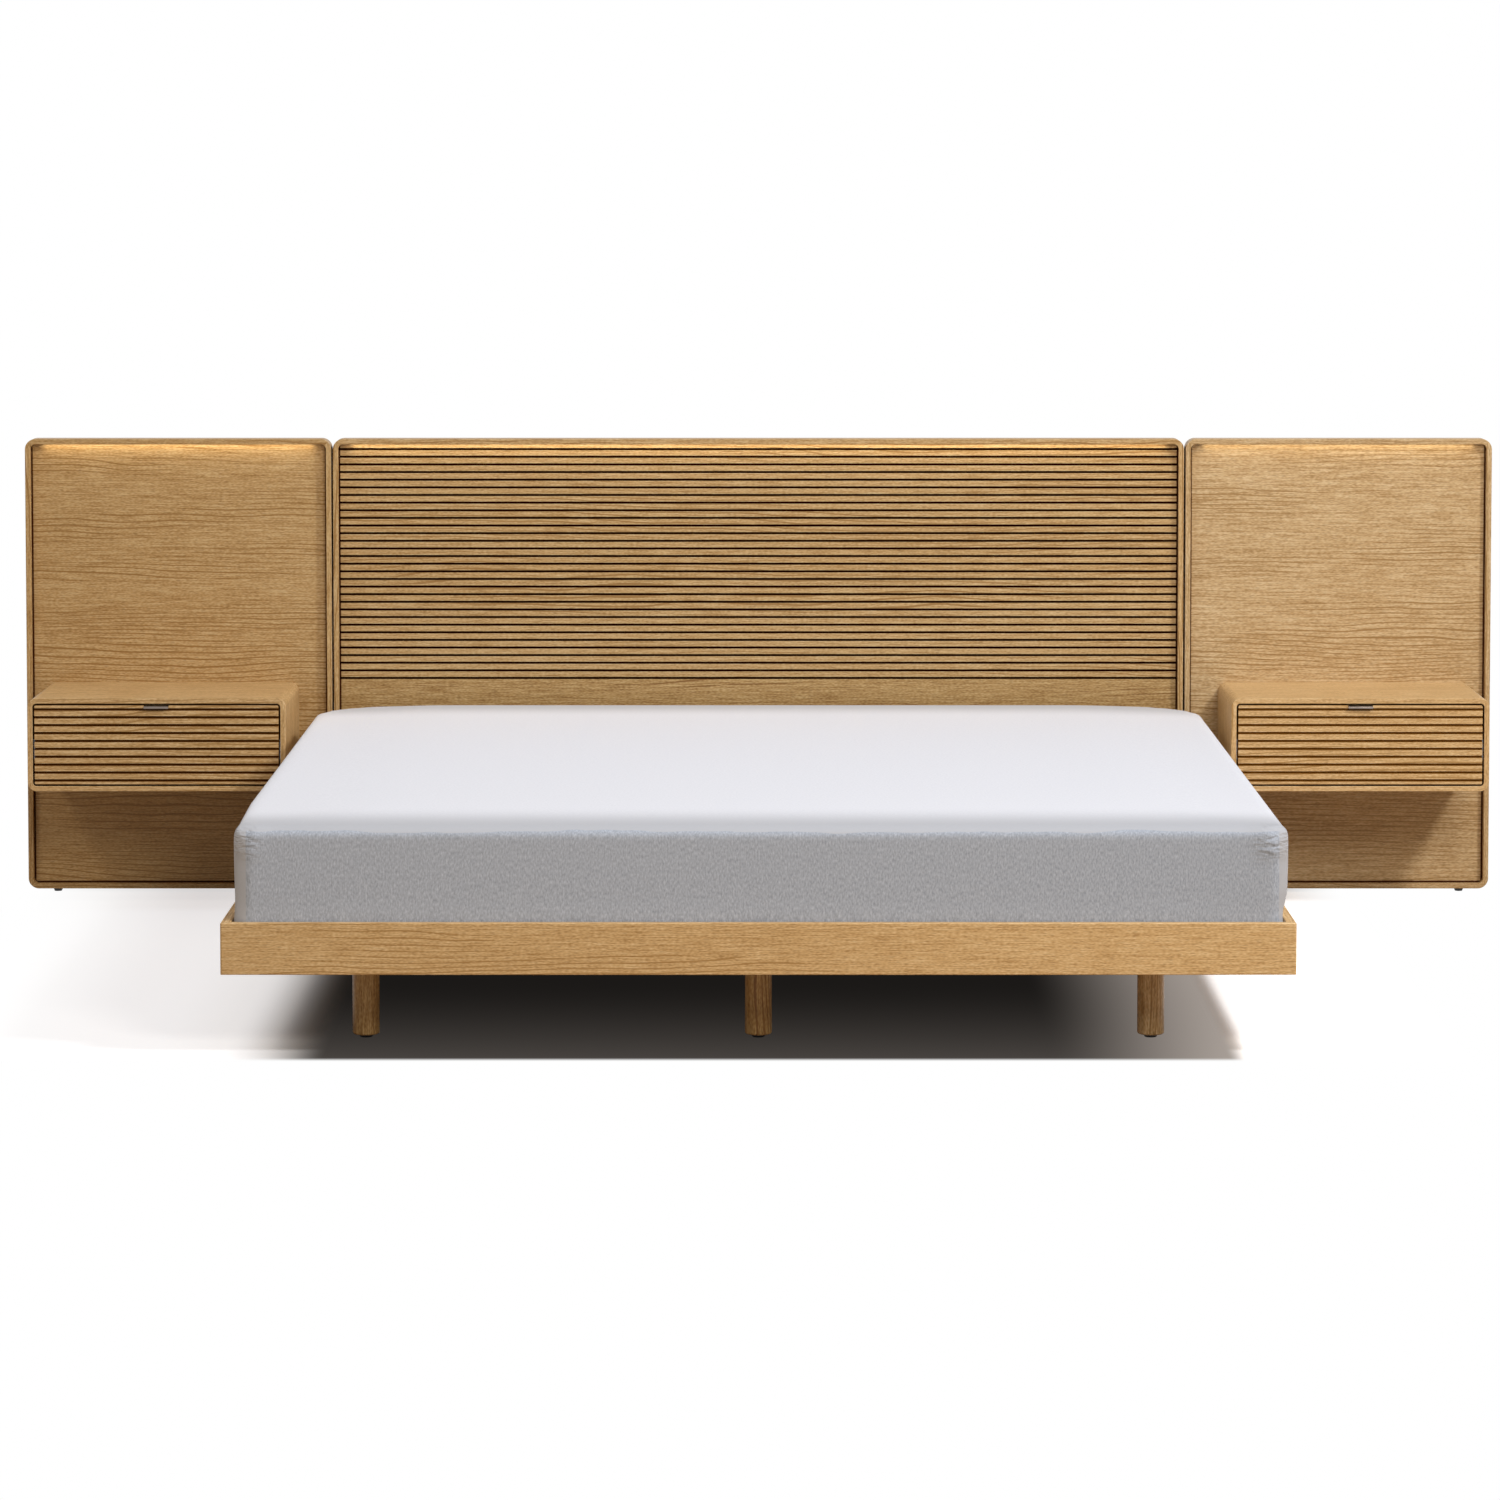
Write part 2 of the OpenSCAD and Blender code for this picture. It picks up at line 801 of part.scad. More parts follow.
// Square plate under a bearer with the stud that the leg turns onto
module leg_plates() {
    color(STEEL)
        at_legs()
            translate([0, 0, rail_clear]) {
                linear_extrude(leg_plate_t)
                    rounded_rect(leg_plate_w, leg_plate_w, leg_plate_r);
                translate([0, 0, -leg_stud_l])
                    bar(leg_stud_d, leg_stud_l + leg_plate_t / 2);
            }
}

module leg_glides() {
    color(BLACK)
        at_legs() {
            cylinder(d1 = glide_d - 2 * foot_bevel, d2 = glide_d, h = glide_h / 2);
            translate([0, 0, glide_h / 2])
                bar(glide_d, glide_h / 2);
            translate([0, 0, glide_h / 2])
                bar(glide_pin_d, glide_h / 2 + glide_pin_l);
        }
}

// ---------- headboard ----------

// Places an upright panel: children stand in the XY plane, their back at z = 0
module place_panel(x) {
    translate([x, back_y, panel_z])
        rotate([90, 0, 0])
            children();
}

// Thin cuts that part a sleeve into four mitred members
module mitres(w, h, depth, r) {
    for (x = [-1, 1], y = [-1, 1])
        translate([x * (w / 2 - r), y * (h / 2 - r), -e])
            rotate([0, 0, x * y * 45])
                translate([x > 0 ? 0 : -r - e, -glue_line / 2, 0])
                    cube([r + e, glue_line, depth + 2 * e]);
}

// Four mitred members round a panel; the upper one is let in for the light channel
module rim(x, w) {
    color(PALE_OAK)
        difference() {
            place_panel(x)
                difference() {
                    sleeve(w, panel_h, rim_t, rim_depth, rim_r, rim_arris);
                    mitres(w, panel_h, rim_depth, rim_r);
                    translate([
                        -light_l(w) / 2 - led_fit,
                        panel_h / 2 - rim_t - e,
                        rim_depth - led_lip - led_w - 2 * led_fit
                    ])
                        cube([
                            light_l(w) + 2 * led_fit,
                            led_h + led_fit + e,
                            led_w + 2 * led_fit
                        ]);
                }
            connector_holes();
            panel_foot_holes();
        }
}

module left_rim() {
    rim(-side_panel_x, side_panel_w);
}

module middle_rim() {
    rim(0, middle_panel_w);
}

module right_rim() {
    rim(side_panel_x, side_panel_w);
}

// Outline of the board inside a rim w wide
module board_outline(w) {
    rounded_rect(
        w - 2 * rim_t - 2 * board_fit,
        panel_h - 2 * rim_t - 2 * board_fit,
        rim_inner_r - board_fit
    );
}

module side_board(side) {
    color(OAK)
        difference() {
            place_panel(side * side_panel_x)
                translate([0, 0, recess_back])
                    linear_extrude(board_t)
                        board_outline(side_panel_w);
            case_bolt_holes();
        }
}

module left_board() {
    side_board(-1);
}

module right_board() {
    side_board(1);
}

// Upper board of the middle panel, milled into level ribs
module slatted_board() {
    low = split_z - panel_z;
    high = panel_h / 2 - rim_t - board_fit;
    top = high - slatted_band;
    color(OAK)
        place_panel(0)
            translate([0, 0, recess_back])
                intersection() {
                    linear_extrude(board_t)
                        board_outline(middle_panel_w);
                    slab(middle_panel_w, concat(
                        [[low, board_t], [low, 0], [high, 0], [high, board_t]],
                        grooves(
                            top, board_t, rib_pitch, rib_rows,
                            rib_groove_w, rib_groove_depth
                        )
                    ));
                }
}

// Plain board under the slatted one; its top edge is rebated like one more groove
module lower_board() {
    low = -panel_h / 2;
    high = split_z - panel_z;
    edge = groove(high, board_t, rib_groove_w, rib_groove_depth);
    color(OAK)
        difference() {
            place_panel(0)
                translate([0, 0, recess_back])
                    intersection() {
                        linear_extrude(board_t)
                            board_outline(middle_panel_w);
                        slab(middle_panel_w, [
                            [low, board_t], [low, 0], [high, 0], edge[1], edge[2], edge[3]
                        ]);
                    }
            at_bed_bolts()
                bar(bed_bolt_d + 2 * hole_fit, rail_t + spacer_l + board_t + e);
        }
}

// Battens in the recess behind the boards
module rear_battens() {
    side_l = side_panel_w - 2 * rim_t - 2 * board_fit;
    middle_l = panel_h - 2 * rim_t - 2 * board_fit;
    color(PINE)
        difference() {
            union() {
                for (side = [-1, 1], row = [-1, 1])
                    translate([
                        side * side_panel_x - side_l / 2,
                        board_y + board_t,
                        case_clear + case_h / 2 + row * case_bolt_z / 2 - batten_h / 2
                    ])
                        cube([side_l, recess_back, batten_h]);
                for (x = [-middle_batten_x, 0, middle_batten_x])
                    translate([x - batten_w / 2, board_y + board_t, panel_z - middle_l / 2])
                        cube([batten_w, recess_back, middle_l]);
            }
            case_bolt_holes();
        }
}

function light_l(w) = w - 2 * rim_r - 2 * led_end;

// Places children at the mouth of each light channel, with the panel's width handed on
module at_lights() {
    for (p = [
        [-side_panel_x, side_panel_w],
        [0, middle_panel_w],
        [side_panel_x, side_panel_w]
    ]) {
        $panel_w = p[1];
        translate([
            p[0],
            back_y - rim_depth + led_lip + led_fit + led_w / 2,
            headboard_h - rim_t
        ])
            children();
    }
}

// Channel with closed ends, open downwards
module light_channels() {
    color([0.80, 0.81, 0.82])
        at_lights()
            difference() {
                translate([-light_l($panel_w) / 2, -led_w / 2, 0])
                    cube([light_l($panel_w), led_w, led_h]);
                translate([-light_l($panel_w) / 2 + led_wall, -led_w / 2 + led_wall, -e])
                    cube([
                        light_l($panel_w) - 2 * led_wall,
                        led_w - 2 * led_wall,
                        led_h - led_wall + e
                    ]);
            }
}

module light_diffusers() {
    inset = led_wall + led_fit;
    color([1.0, 0.90, 0.68])
        at_lights()
            translate([-light_l($panel_w) / 2 + inset, -led_w / 2 + inset, 0])
                cube([
                    light_l($panel_w) - 2 * inset,
                    led_w - 2 * inset,
                    led_diffuser_t
                ]);
}

// Places children along X across each joint between two panels, z = 0 at its middle
module at_connectors() {
    for (side = [-1, 1], z = connector_heights)
        translate([side * (middle_panel_w + panel_gap) / 2, connector_y, z])
            rotate([0, 90, 0])
                children();
}

module panel_connectors() {
    half = panel_gap / 2 + rim_t;
    color(STEEL)
        at_connectors() {
            translate([0, 0, -half - connector_head_h])
                bar(connector_head_d, connector_head_h);
            translate([0, 0, -half - connector_head_h / 2])
                bar(case_bolt_d, 2 * half + connector_head_h);
            translate([0, 0, half])
                bar(connector_head_d, connector_head_h);
        }
}

// Washers that keep the panels apart
module panel_spacers() {
    color(BLACK)
        at_connectors()
            translate([0, 0, -panel_gap / 2])
                difference() {
                    bar(panel_spacer_d, panel_gap);
                    translate([0, 0, -e])
                        bar(case_bolt_d + 2 * hole_fit, panel_gap + 2 * e);
                }
}

module connector_holes() {
    half = panel_gap / 2 + rim_t;
    at_connectors()
        translate([0, 0, -half - e])
            bar(case_bolt_d + 2 * hole_fit, 2 * half + 2 * e);
}

module at_panel_feet() {
    side_in = middle_panel_w / 2 + panel_gap + panel_foot_inset;
    side_out = side_panel_x + side_panel_w / 2 - panel_foot_inset;
    middle_out = middle_panel_w / 2 - panel_foot_inset;
    for (x = [-side_out, -side_in, -middle_out, 0, middle_out, side_in, side_out])
        translate([x, back_y - rim_depth / 2, 0])
            children();
}

module panel_feet() {
    color(BLACK)
        at_panel_feet() {
            cylinder(d1 = panel_foot_d - 2 * foot_bevel, d2 = panel_foot_d, h = foot_h / 2);
            translate([0, 0, foot_h / 2])
                bar(panel_foot_d, foot_h / 2);
            translate([0, 0, foot_h / 2])
                bar(panel_foot_pin_d, foot_h / 2 + panel_foot_pin_l);
        }
}

module panel_foot_holes() {
    at_panel_feet()
        translate([0, 0, foot_h - e])
            bar(panel_foot_pin_d + 2 * hole_fit, e + panel_foot_pin_l + hole_end);
}

// ---------- fixings between the platform, the headboard and the cases ----------

// Places children along +Y at the bed bolts, z = 0 at the inner face of the head rail
module at_bed_bolts() {
    for (side = [-1, 1], k = [-1, 1])
        translate([
            side * bed_bolt_x + k * bed_bolt_pitch / 2,
            head_y - rail_t,
            bed_bolt_z
        ])
            rotate([-90, 0, 0])
                children();
}

// Blocks between the head rail and the recessed lower board
module bed_spacers() {
    color(PINE)
        difference() {
            for (side = [-1, 1])
                translate([
                    side * bed_bolt_x - spacer_w / 2,
                    head_y,
                    rail_clear + spacer_inset
                ])
                    cube([spacer_w, spacer_l, spacer_h]);
            at_bed_bolts()
                bar(bed_bolt_d + 2 * hole_fit, rail_t + spacer_l + e);
        }
}

// Bolts with a low round head in front and a washer and nut behind
module bed_bolts() {
    grip = rail_t + spacer_l + board_t;
    head_d = 1.9 * bed_bolt_d;
    washer_d = 2.1 * bed_bolt_d;
    nut_d = 1.8 * bed_bolt_d;
    washer_t = bed_nut_h / 5;
    color(STEEL)
        at_bed_bolts() {
            translate([0, 0, -bed_bolt_head])
                cylinder(d1 = 0.7 * head_d, d2 = head_d, h = bed_bolt_head);
            translate([0, 0, -bed_bolt_head / 2])
                bar(bed_bolt_d, bed_bolt_head / 2 + grip + bed_nut_h + bed_bolt_show);
            difference() {
                translate([0, 0, grip]) {
                    bar(washer_d, washer_t);
                    cylinder(d = nut_d, h = bed_nut_h, $fn = 6);
                }
                bar(bed_bolt_d + hole_fit, grip + bed_nut_h + e);
            }
        }
}

// Places children along -Y at the case bolts, z = 0 at the back of the panels
module at_case_bolts() {
    for (side = [-1, 1], i = [-1, 1], j = [-1, 1])
        translate([
            side * case_x + i * case_bolt_x,
            back_y,
            case_clear + case_h / 2 + j * case_bolt_z / 2
        ])
            rotate([90, 0, 0])
                children();
}

module case_bolts() {
    color(STEEL)
        at_case_bolts()
            translate([0, 0, case_bolt_sink]) {
                translate([0, 0, -case_bolt_head])
                    bar(case_bolt_head_d, case_bolt_head);
                translate([0, 0, -case_bolt_head / 2])
                    bar(
                        case_bolt_d,
                        case_bolt_head / 2 + recess_back - case_bolt_sink + board_t + case_bolt_grip
                    );
            }
}

module case_bolt_holes() {
    at_case_bolts() {
        translate([0, 0, -e])
            bar(case_bolt_head_d + 4 * hole_fit, e + case_bolt_sink);
        bar(case_bolt_d + 2 * hole_fit, recess_back + board_t + case_bolt_grip + hole_end);
    }
}

// ---------- nightstands ----------

// Origin of a nightstand: middle of the case's front, at its underside
module place_case(side) {
    translate([side * case_x, case_y, case_clear])
        children();
}

// Case open in front and behind
module case_sleeve() {
    translate([0, case_d, case_h / 2])
        rotate([90, 0, 0])
            sleeve(case_w, case_h, case_t, case_d, case_r, case_arris);
}

module case_back(side) {
    color(BIRCH)
        difference() {
            place_case(side)
                translate([0, case_d, case_h / 2])
                    rotate([90, 0, 0])
                        linear_extrude(case_back_t)
                            rounded_rect(
                                case_in_w - 2 * board_fit,
                                case_in_h - 2 * board_fit,
                                case_in_r - board_fit
                            );
            case_bolt_holes();
        }
}

// Drawer front: level grooves, eased arrises and corners that follow the case
module drawer_front() {
    half = front_h / 2;
    first = half - (front_h - front_groove_w - front_rows * front_pitch) / 2;
    color(OAK)
        translate([0, front_t, front_z + front_h / 2])
            difference() {
                intersection() {
                    rotate([90, 0, 0])
                        intersection() {
                            linear_extrude(front_t)
                                rounded_rect(front_w, front_h, front_r);
                            slab(front_w, concat(
                                [[-half, front_t], [-half, 0], [half, 0], [half, front_t]],
                                grooves(
                                    first, front_t, front_pitch, front_rows + 1,
                                    front_groove_w, front_groove_depth
                                )
                            ));
                        }
                    translate([0, 0, -front_h / 2])
                        linear_extrude(front_h)
                            rotate(180)
                                translate([-front_w / 2, 0])
                                    wall_section(front_w, front_t, front_arris);
                    translate([-front_w / 2, 0, front_h / 2])
                        rotate([0, 90, 0])
                            linear_extrude(front_w)
                                rotate(180)
                                    translate([-front_h, 0])
                                        wall_section(front_h, front_t, front_arris);
                }
                translate([
                    -pull_w / 2 - joint_fit,
                    -front_t - e,
                    front_h / 2 - pull_notch
                ])
                    cube([pull_w + 2 * joint_fit, pull_leaf + joint_fit + e, pull_notch + e]);
                translate([
                    -drawer_w / 2 + drawer_t - bottom_groove,
                    -bottom_groove,
                    drawer_z + bottom_lift - bottom_fit - front_z - front_h / 2
                ])
                    cube([
                        drawer_w - 2 * drawer_t + 2 * bottom_groove,
                        bottom_groove + e,
                        bottom_t + 2 * bottom_fit
                    ]);
            }
}

// Side of the drawer box, grooved inside for the bottom; side is -1 or 1
module drawer_side(side) {
    color(BIRCH)
        translate([side * (drawer_w - drawer_t) / 2, front_t, drawer_z])
            difference() {
                translate([-drawer_t / 2, 0, 0])
                    cube([drawer_t, drawer_l, drawer_h]);
                translate([
                    side < 0 ? drawer_t / 2 - bottom_groove : -drawer_t / 2 - e,
                    -e,
                    bottom_lift - bottom_fit
                ])
                    cube([bottom_groove + e, drawer_l + 2 * e, bottom_t + 2 * bottom_fit]);
            }
}

// Back of the drawer box, which stands on the bottom
module drawer_back() {
    z = bottom_lift + bottom_t;
    color(BIRCH)
        translate([-drawer_w / 2 + drawer_t, front_t + drawer_l - drawer_t, drawer_z + z])
            cube([drawer_w - 2 * drawer_t, drawer_t, drawer_h - z]);
}

module drawer_bottom() {
    reach = bottom_groove - bottom_fit;
    w = drawer_w - 2 * drawer_t + 2 * reach;
    color(BIRCH)
        translate([-w / 2, front_t - reach, drawer_z + bottom_lift])
            cube([w, drawer_l + reach, bottom_t]);
}

// Channel of a runner: web at x = 0, flanges towards +X; depth is the web's depth and flange
module runner_channel(height, depth) {
    difference() {
        translate([0, -height / 2])
            square([depth, height]);
        translate([runner_t, -height / 2 + runner_t])
            square([depth, height - 2 * runner_t]);
    }
}

// Places a runner section on both walls of the case, X from the wall towards the drawer
module at_runners() {
    for (side = [-1, 1])
        translate([side * case_in_w / 2, front_t, runner_z])
            scale([-side, 1, 1])
                rotate([90, 0, 0])
                    translate([0, 0, -runner_l])
                        linear_extrude(runner_l)
                            children();
}

module case_member() {
    color(STEEL)
        at_runners()
            runner_channel(runner_h, runner_flange);
}

module middle_member() {
    step = runner_t + runner_fit;
    color(STEEL)
        at_runners()
            translate([step, 0])
                runner_channel(runner_h - 2 * step, runner_flange);
}

module drawer_member() {
    step = 2 * (runner_t + runner_fit);
    color(STEEL)
        at_runners()
            translate([runner_room, 0])
                scale([-1, 1, 1])
                    runner_channel(runner_h - 2 * step, runner_room - step);
}

// Bent sheet: a leaf let into the top of the drawer front and a lip hanging in front of it
module drawer_pull() {
    bend = pull_t;
    color([0.80, 0.78, 0.75])
        translate([-pull_w / 2, 0, front_z + front_h - pull_sink])
            rotate([90, 0, 90])
                linear_extrude(pull_w) {
                    translate([-pull_reach + bend, -pull_t])
                        square([pull_leaf + pull_reach - bend, pull_t]);
                    translate([-pull_reach, -pull_lip + pull_t / 2])
                        square([pull_t, pull_lip - bend - pull_t / 2]);
                    translate([-pull_reach + pull_t / 2, -pull_lip + pull_t / 2])
                        circle(d = pull_t);
                    translate([-pull_reach + bend, -bend])
                        intersection() {
                            circle(r = bend);
                            translate([-bend, 0])
                                square(bend);
                        }
                }
}

module left_case() {
    color(OAK)
        place_case(-1)
            case_sleeve();
}

module right_case() {
    color(OAK)
        place_case(1)
            case_sleeve();
}

mattress();
foot_rail();
left_side_rail();
right_side_rail();
head_rail();
side_ledgers();
front_bearer();
rear_bearer();
centre_beam();
slats();
corner_brackets();
corner_screws();
front_left_leg();
front_middle_leg();
front_right_leg();
rear_left_leg();
rear_middle_leg();
rear_right_leg();
leg_plates();
leg_glides();
left_board();
right_board();
slatted_board();
lower_board();
left_rim();
middle_rim();
right_rim();
rear_battens();
light_channels();
light_diffusers();
panel_connectors();
panel_spacers();
panel_feet();
bed_spacers();
bed_bolts();
case_bolts();
left_case();
case_back(-1);  // left_case_back
place_case(-1) case_member();  // left_case_runners
place_case(-1) middle_member();  // left_middle_runners
place_case(-1) drawer_front();  // left_drawer_front
place_case(-1) drawer_side(-1);  // left_drawer_outer_side
place_case(-1) drawer_side(1);  // left_drawer_inner_side
place_case(-1) drawer_back();  // left_drawer_back
place_case(-1) drawer_bottom();  // left_drawer_bottom
place_case(-1) drawer_member();  // left_drawer_runners
place_case(-1) drawer_pull();  // left_drawer_pull
right_case();
case_back(1);  // right_case_back
place_case(1) case_member();  // right_case_runners
place_case(1) middle_member();  // right_middle_runners
place_case(1) drawer_front();  // right_drawer_front
place_case(1) drawer_side(1);  // right_drawer_outer_side
place_case(1) drawer_side(-1);  // right_drawer_inner_side
place_case(1) drawer_back();  // right_drawer_back
place_case(1) drawer_bottom();  // right_drawer_bottom
place_case(1) drawer_member();  // right_drawer_runners
place_case(1) drawer_pull();  // right_drawer_pull
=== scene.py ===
import math

import bpy
import numpy as np
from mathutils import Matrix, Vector


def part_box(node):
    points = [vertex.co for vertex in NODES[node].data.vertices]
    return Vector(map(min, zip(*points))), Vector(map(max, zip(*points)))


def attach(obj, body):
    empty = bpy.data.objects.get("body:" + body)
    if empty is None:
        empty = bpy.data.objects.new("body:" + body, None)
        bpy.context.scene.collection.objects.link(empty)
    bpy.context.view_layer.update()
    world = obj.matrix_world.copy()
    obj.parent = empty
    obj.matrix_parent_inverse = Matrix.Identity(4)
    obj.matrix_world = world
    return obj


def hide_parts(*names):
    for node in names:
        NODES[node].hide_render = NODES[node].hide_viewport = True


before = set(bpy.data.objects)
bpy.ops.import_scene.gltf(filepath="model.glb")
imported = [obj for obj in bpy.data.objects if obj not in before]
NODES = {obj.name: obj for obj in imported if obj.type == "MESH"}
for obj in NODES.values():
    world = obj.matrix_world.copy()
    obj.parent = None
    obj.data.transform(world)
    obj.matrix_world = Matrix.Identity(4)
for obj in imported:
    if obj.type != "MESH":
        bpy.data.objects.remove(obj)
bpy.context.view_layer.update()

MM = 0.001


# ---------- helpers ----------

def linear(code):
    """An sRGB hex value as linear red, green, blue and alpha."""
    parts = [int(code[i:i + 2], 16) / 255 for i in (1, 3, 5)]
    return tuple(c / 12.92 if c <= 0.04045 else ((c + 0.055) / 1.055) ** 2.4 for c in parts) + (1.0,)


def add_node(tree, kind, sockets=None, stops=(), **settings):
    """Adds a node with its settings. Each socket gets a number, a colour or a link, and a colour
    ramp gets its stops as (place, hex). On a Mix node socket 0 is the share, 4 and 5 are vectors,
    and 6 and 7 are colours."""
    node = tree.nodes.new(kind)
    for name, value in settings.items():
        setattr(node, name, value)
    for name, value in (sockets or {}).items():
        if isinstance(value, bpy.types.NodeSocket):
            tree.links.new(value, node.inputs[name])
        else:
            node.inputs[name].default_value = value
    if stops:
        elements = node.color_ramp.elements
        while len(elements) < len(stops):
            elements.new(0.5)
        for element, (place, code) in zip(elements, stops):
            element.position = place
            element.color = linear(code)
    return node


def new_material(name):
    """An empty material and its node tree."""
    material = bpy.data.materials.new(name)
    material.use_nodes = True
    material.node_tree.nodes.clear()
    return material, material.node_tree


def finish_surface(tree, sockets):
    """Closes a tree with a Principled surface."""
    surface = add_node(tree, "ShaderNodeBsdfPrincipled", sockets)
    add_node(tree, "ShaderNodeOutputMaterial", {"Surface": surface.outputs[0]})


def split_place(tree):
    """Object coordinates as three sockets."""
    place = add_node(tree, "ShaderNodeTexCoord").outputs["Object"]
    return add_node(tree, "ShaderNodeSeparateXYZ", {"Vector": place}).outputs


def grain_of_size(tree, size_mm, detail=2.0, space=None, **mapping):
    """Noise whose grains are size_mm long each way, in the object's own space or another."""
    if space is None:
        space = add_node(tree, "ShaderNodeTexCoord").outputs["Object"]
    sized = add_node(tree, "ShaderNodeMapping", {
        "Vector": space, "Scale": [1 / (length * MM) for length in size_mm], **mapping,
    })
    return add_node(tree, "ShaderNodeTexNoise", {
        "Vector": sized.outputs[0], "Scale": 1.0, "Detail": detail,
    }).outputs[0]


def all_of(tree, limits):
    """Product of soft steps, each from 0 where a value is at its first limit to 1 at its second."""
    product = 1.0
    for value, start, full in limits:
        step = add_node(tree, "ShaderNodeMapRange", {
            "Value": value, "From Min": start, "From Max": full,
        }, interpolation_type="SMOOTHSTEP")
        product = add_node(tree, "ShaderNodeMath", {
            0: product, 1: step.outputs[0],
        }, operation="MULTIPLY").outputs[0]
    return product


def seen_rays(tree):
    """1 for a ray that shows the surface, straight on or by way of metal and glass, and 0 for one
    that carries its light."""
    path = add_node(tree, "ShaderNodeLightPath").outputs
    seen = path["Is Camera Ray"]
    for other in ("Is Glossy Ray", "Is Transmission Ray"):
        seen = add_node(tree, "ShaderNodeMath", {
            0: seen, 1: path[other],
        }, operation="MAXIMUM").outputs[0]
    return seen


# ---------- wood: the space in which its grain runs ----------

def straight_grain(tree, axis):
    """(along, across, deep) for a piece whose grain runs along one axis."""
    place = split_place(tree)
    order = {"X": "XZY", "Y": "YZX", "Z": "ZXY"}[axis]
    return add_node(tree, "ShaderNodeCombineXYZ", {
        target: place[source] for target, source in zip("XYZ", order)
    }).outputs[0]


def frame_room(tree, node):
    """Distance in from the sides (X) and from the top and bottom (Z) of a node's box."""
    low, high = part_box(node)
    place = split_place(tree)
    room = {}
    for axis, index in (("X", 0), ("Z", 2)):
        middle = (low[index] + high[index]) / 2
        off = add_node(tree, "ShaderNodeMath", {0: place[axis], 1: middle}, operation="SUBTRACT")
        far = add_node(tree, "ShaderNodeMath", {0: off.outputs[0]}, operation="ABSOLUTE")
        room[axis] = add_node(tree, "ShaderNodeMath", {
            0: high[index] - middle, 1: far.outputs[0],
        }, operation="SUBTRACT").outputs[0]
    return room


def mitred_grain(tree, node):
    """(along, across, deep) for a frame in the XZ plane: the grain is level in its level members
    and upright in its uprights, and changes over at the mitre."""
    room = frame_room(tree, node)
    level = add_node(tree, "ShaderNodeMath", {0: room["Z"], 1: room["X"]}, operation="LESS_THAN")
    return add_node(tree, "ShaderNodeMix", {
        0: level.outputs[0], 4: straight_grain(tree, "Z"), 5: straight_grain(tree, "X"),
    }, data_type="VECTOR").outputs[1]


def along(axis):
    """A grain space of one axis, for oak()."""
    return lambda tree: straight_grain(tree, axis)


def round_frame(node):
    """A grain space that follows a mitred frame, for oak()."""
    return lambda tree: mitred_grain(tree, node)


# ---------- wood: rings, streaks, fibres and pores ----------

# how long and how wide each layer of the figure is, in mm, and its detail
FIGURE = {
    "drift": (1400, 160, 1.0),
    "wobble": (240, 120, 1.0),
    "cluster": (900, 80, 1.0),
    "streak": (260, 5, 1.0),
    "fibre": (60, 2.2, 0.0),
    "fleck": (7, 2.2, 0.0),
    "pore": (14, 1.7, 0.0),
}
# how much each layer adds to the lightness; a ring line takes its share away
SHARES = {"drift": 0.16, "streak": 0.24, "fibre": 0.62, "fleck": 0.55, "line": -0.50}
MEAN_LIGHTNESS = 0.54
# how steeply the rings lie to the face of a board
RING_SLANT = 0.8
# how far an arch moves the lines, as a share of its width, and how many rings a short wave does
ARCH_MOVES = 0.7
WOBBLE_RINGS = 2.0
# half the width of a line, in rings: out to where it has faded, and out to where it is full
LINE_EDGE = (0.14, 0.05)
# the noise at which the lines start to show more and at which they are full, and how much they
# show elsewhere
LINES_SHOW = (0.46, 0.58)
LINES_FAINT = 0.05


def ring_lines(tree, space, layers, arch_mm, ring_mm):
    """Late wood: thin dark lines across the grain, bent by a slow noise into arches, strong in
    some stretches and faint in others."""
    sides = add_node(tree, "ShaderNodeSeparateXYZ", {"Vector": space}).outputs
    across = add_node(tree, "ShaderNodeMath", {
        0: sides["Z"], 1: RING_SLANT, 2: sides["Y"],
    }, operation="MULTIPLY_ADD")
    counted = add_node(tree, "ShaderNodeMath", {
        0: across.outputs[0], 1: 1 / (ring_mm * MM),
    }, operation="MULTIPLY").outputs[0]
    for name, turns in (("arch", ARCH_MOVES * arch_mm[1] / ring_mm), ("wobble", WOBBLE_RINGS)):
        counted = add_node(tree, "ShaderNodeMath", {
            0: layers[name], 1: turns, 2: counted,
        }, operation="MULTIPLY_ADD").outputs[0]
    off = add_node(tree, "ShaderNodeMath", {0: counted, 1: 0.5}, operation="PINGPONG")
    line = add_node(tree, "ShaderNodeMapRange", {
        "Value": off.outputs[0], "From Min": LINE_EDGE[0], "From Max": LINE_EDGE[1],
    }, interpolation_type="SMOOTHSTEP")
    shown = add_node(tree, "ShaderNodeMapRange", {
        "Value": layers["cluster"],
        "From Min": LINES_SHOW[0], "From Max": LINES_SHOW[1], "To Min": LINES_FAINT,
    })
    return add_node(tree, "ShaderNodeMath", {
        0: line.outputs[0], 1: shown.outputs[0],
    }, operation="MULTIPLY").outputs[0]


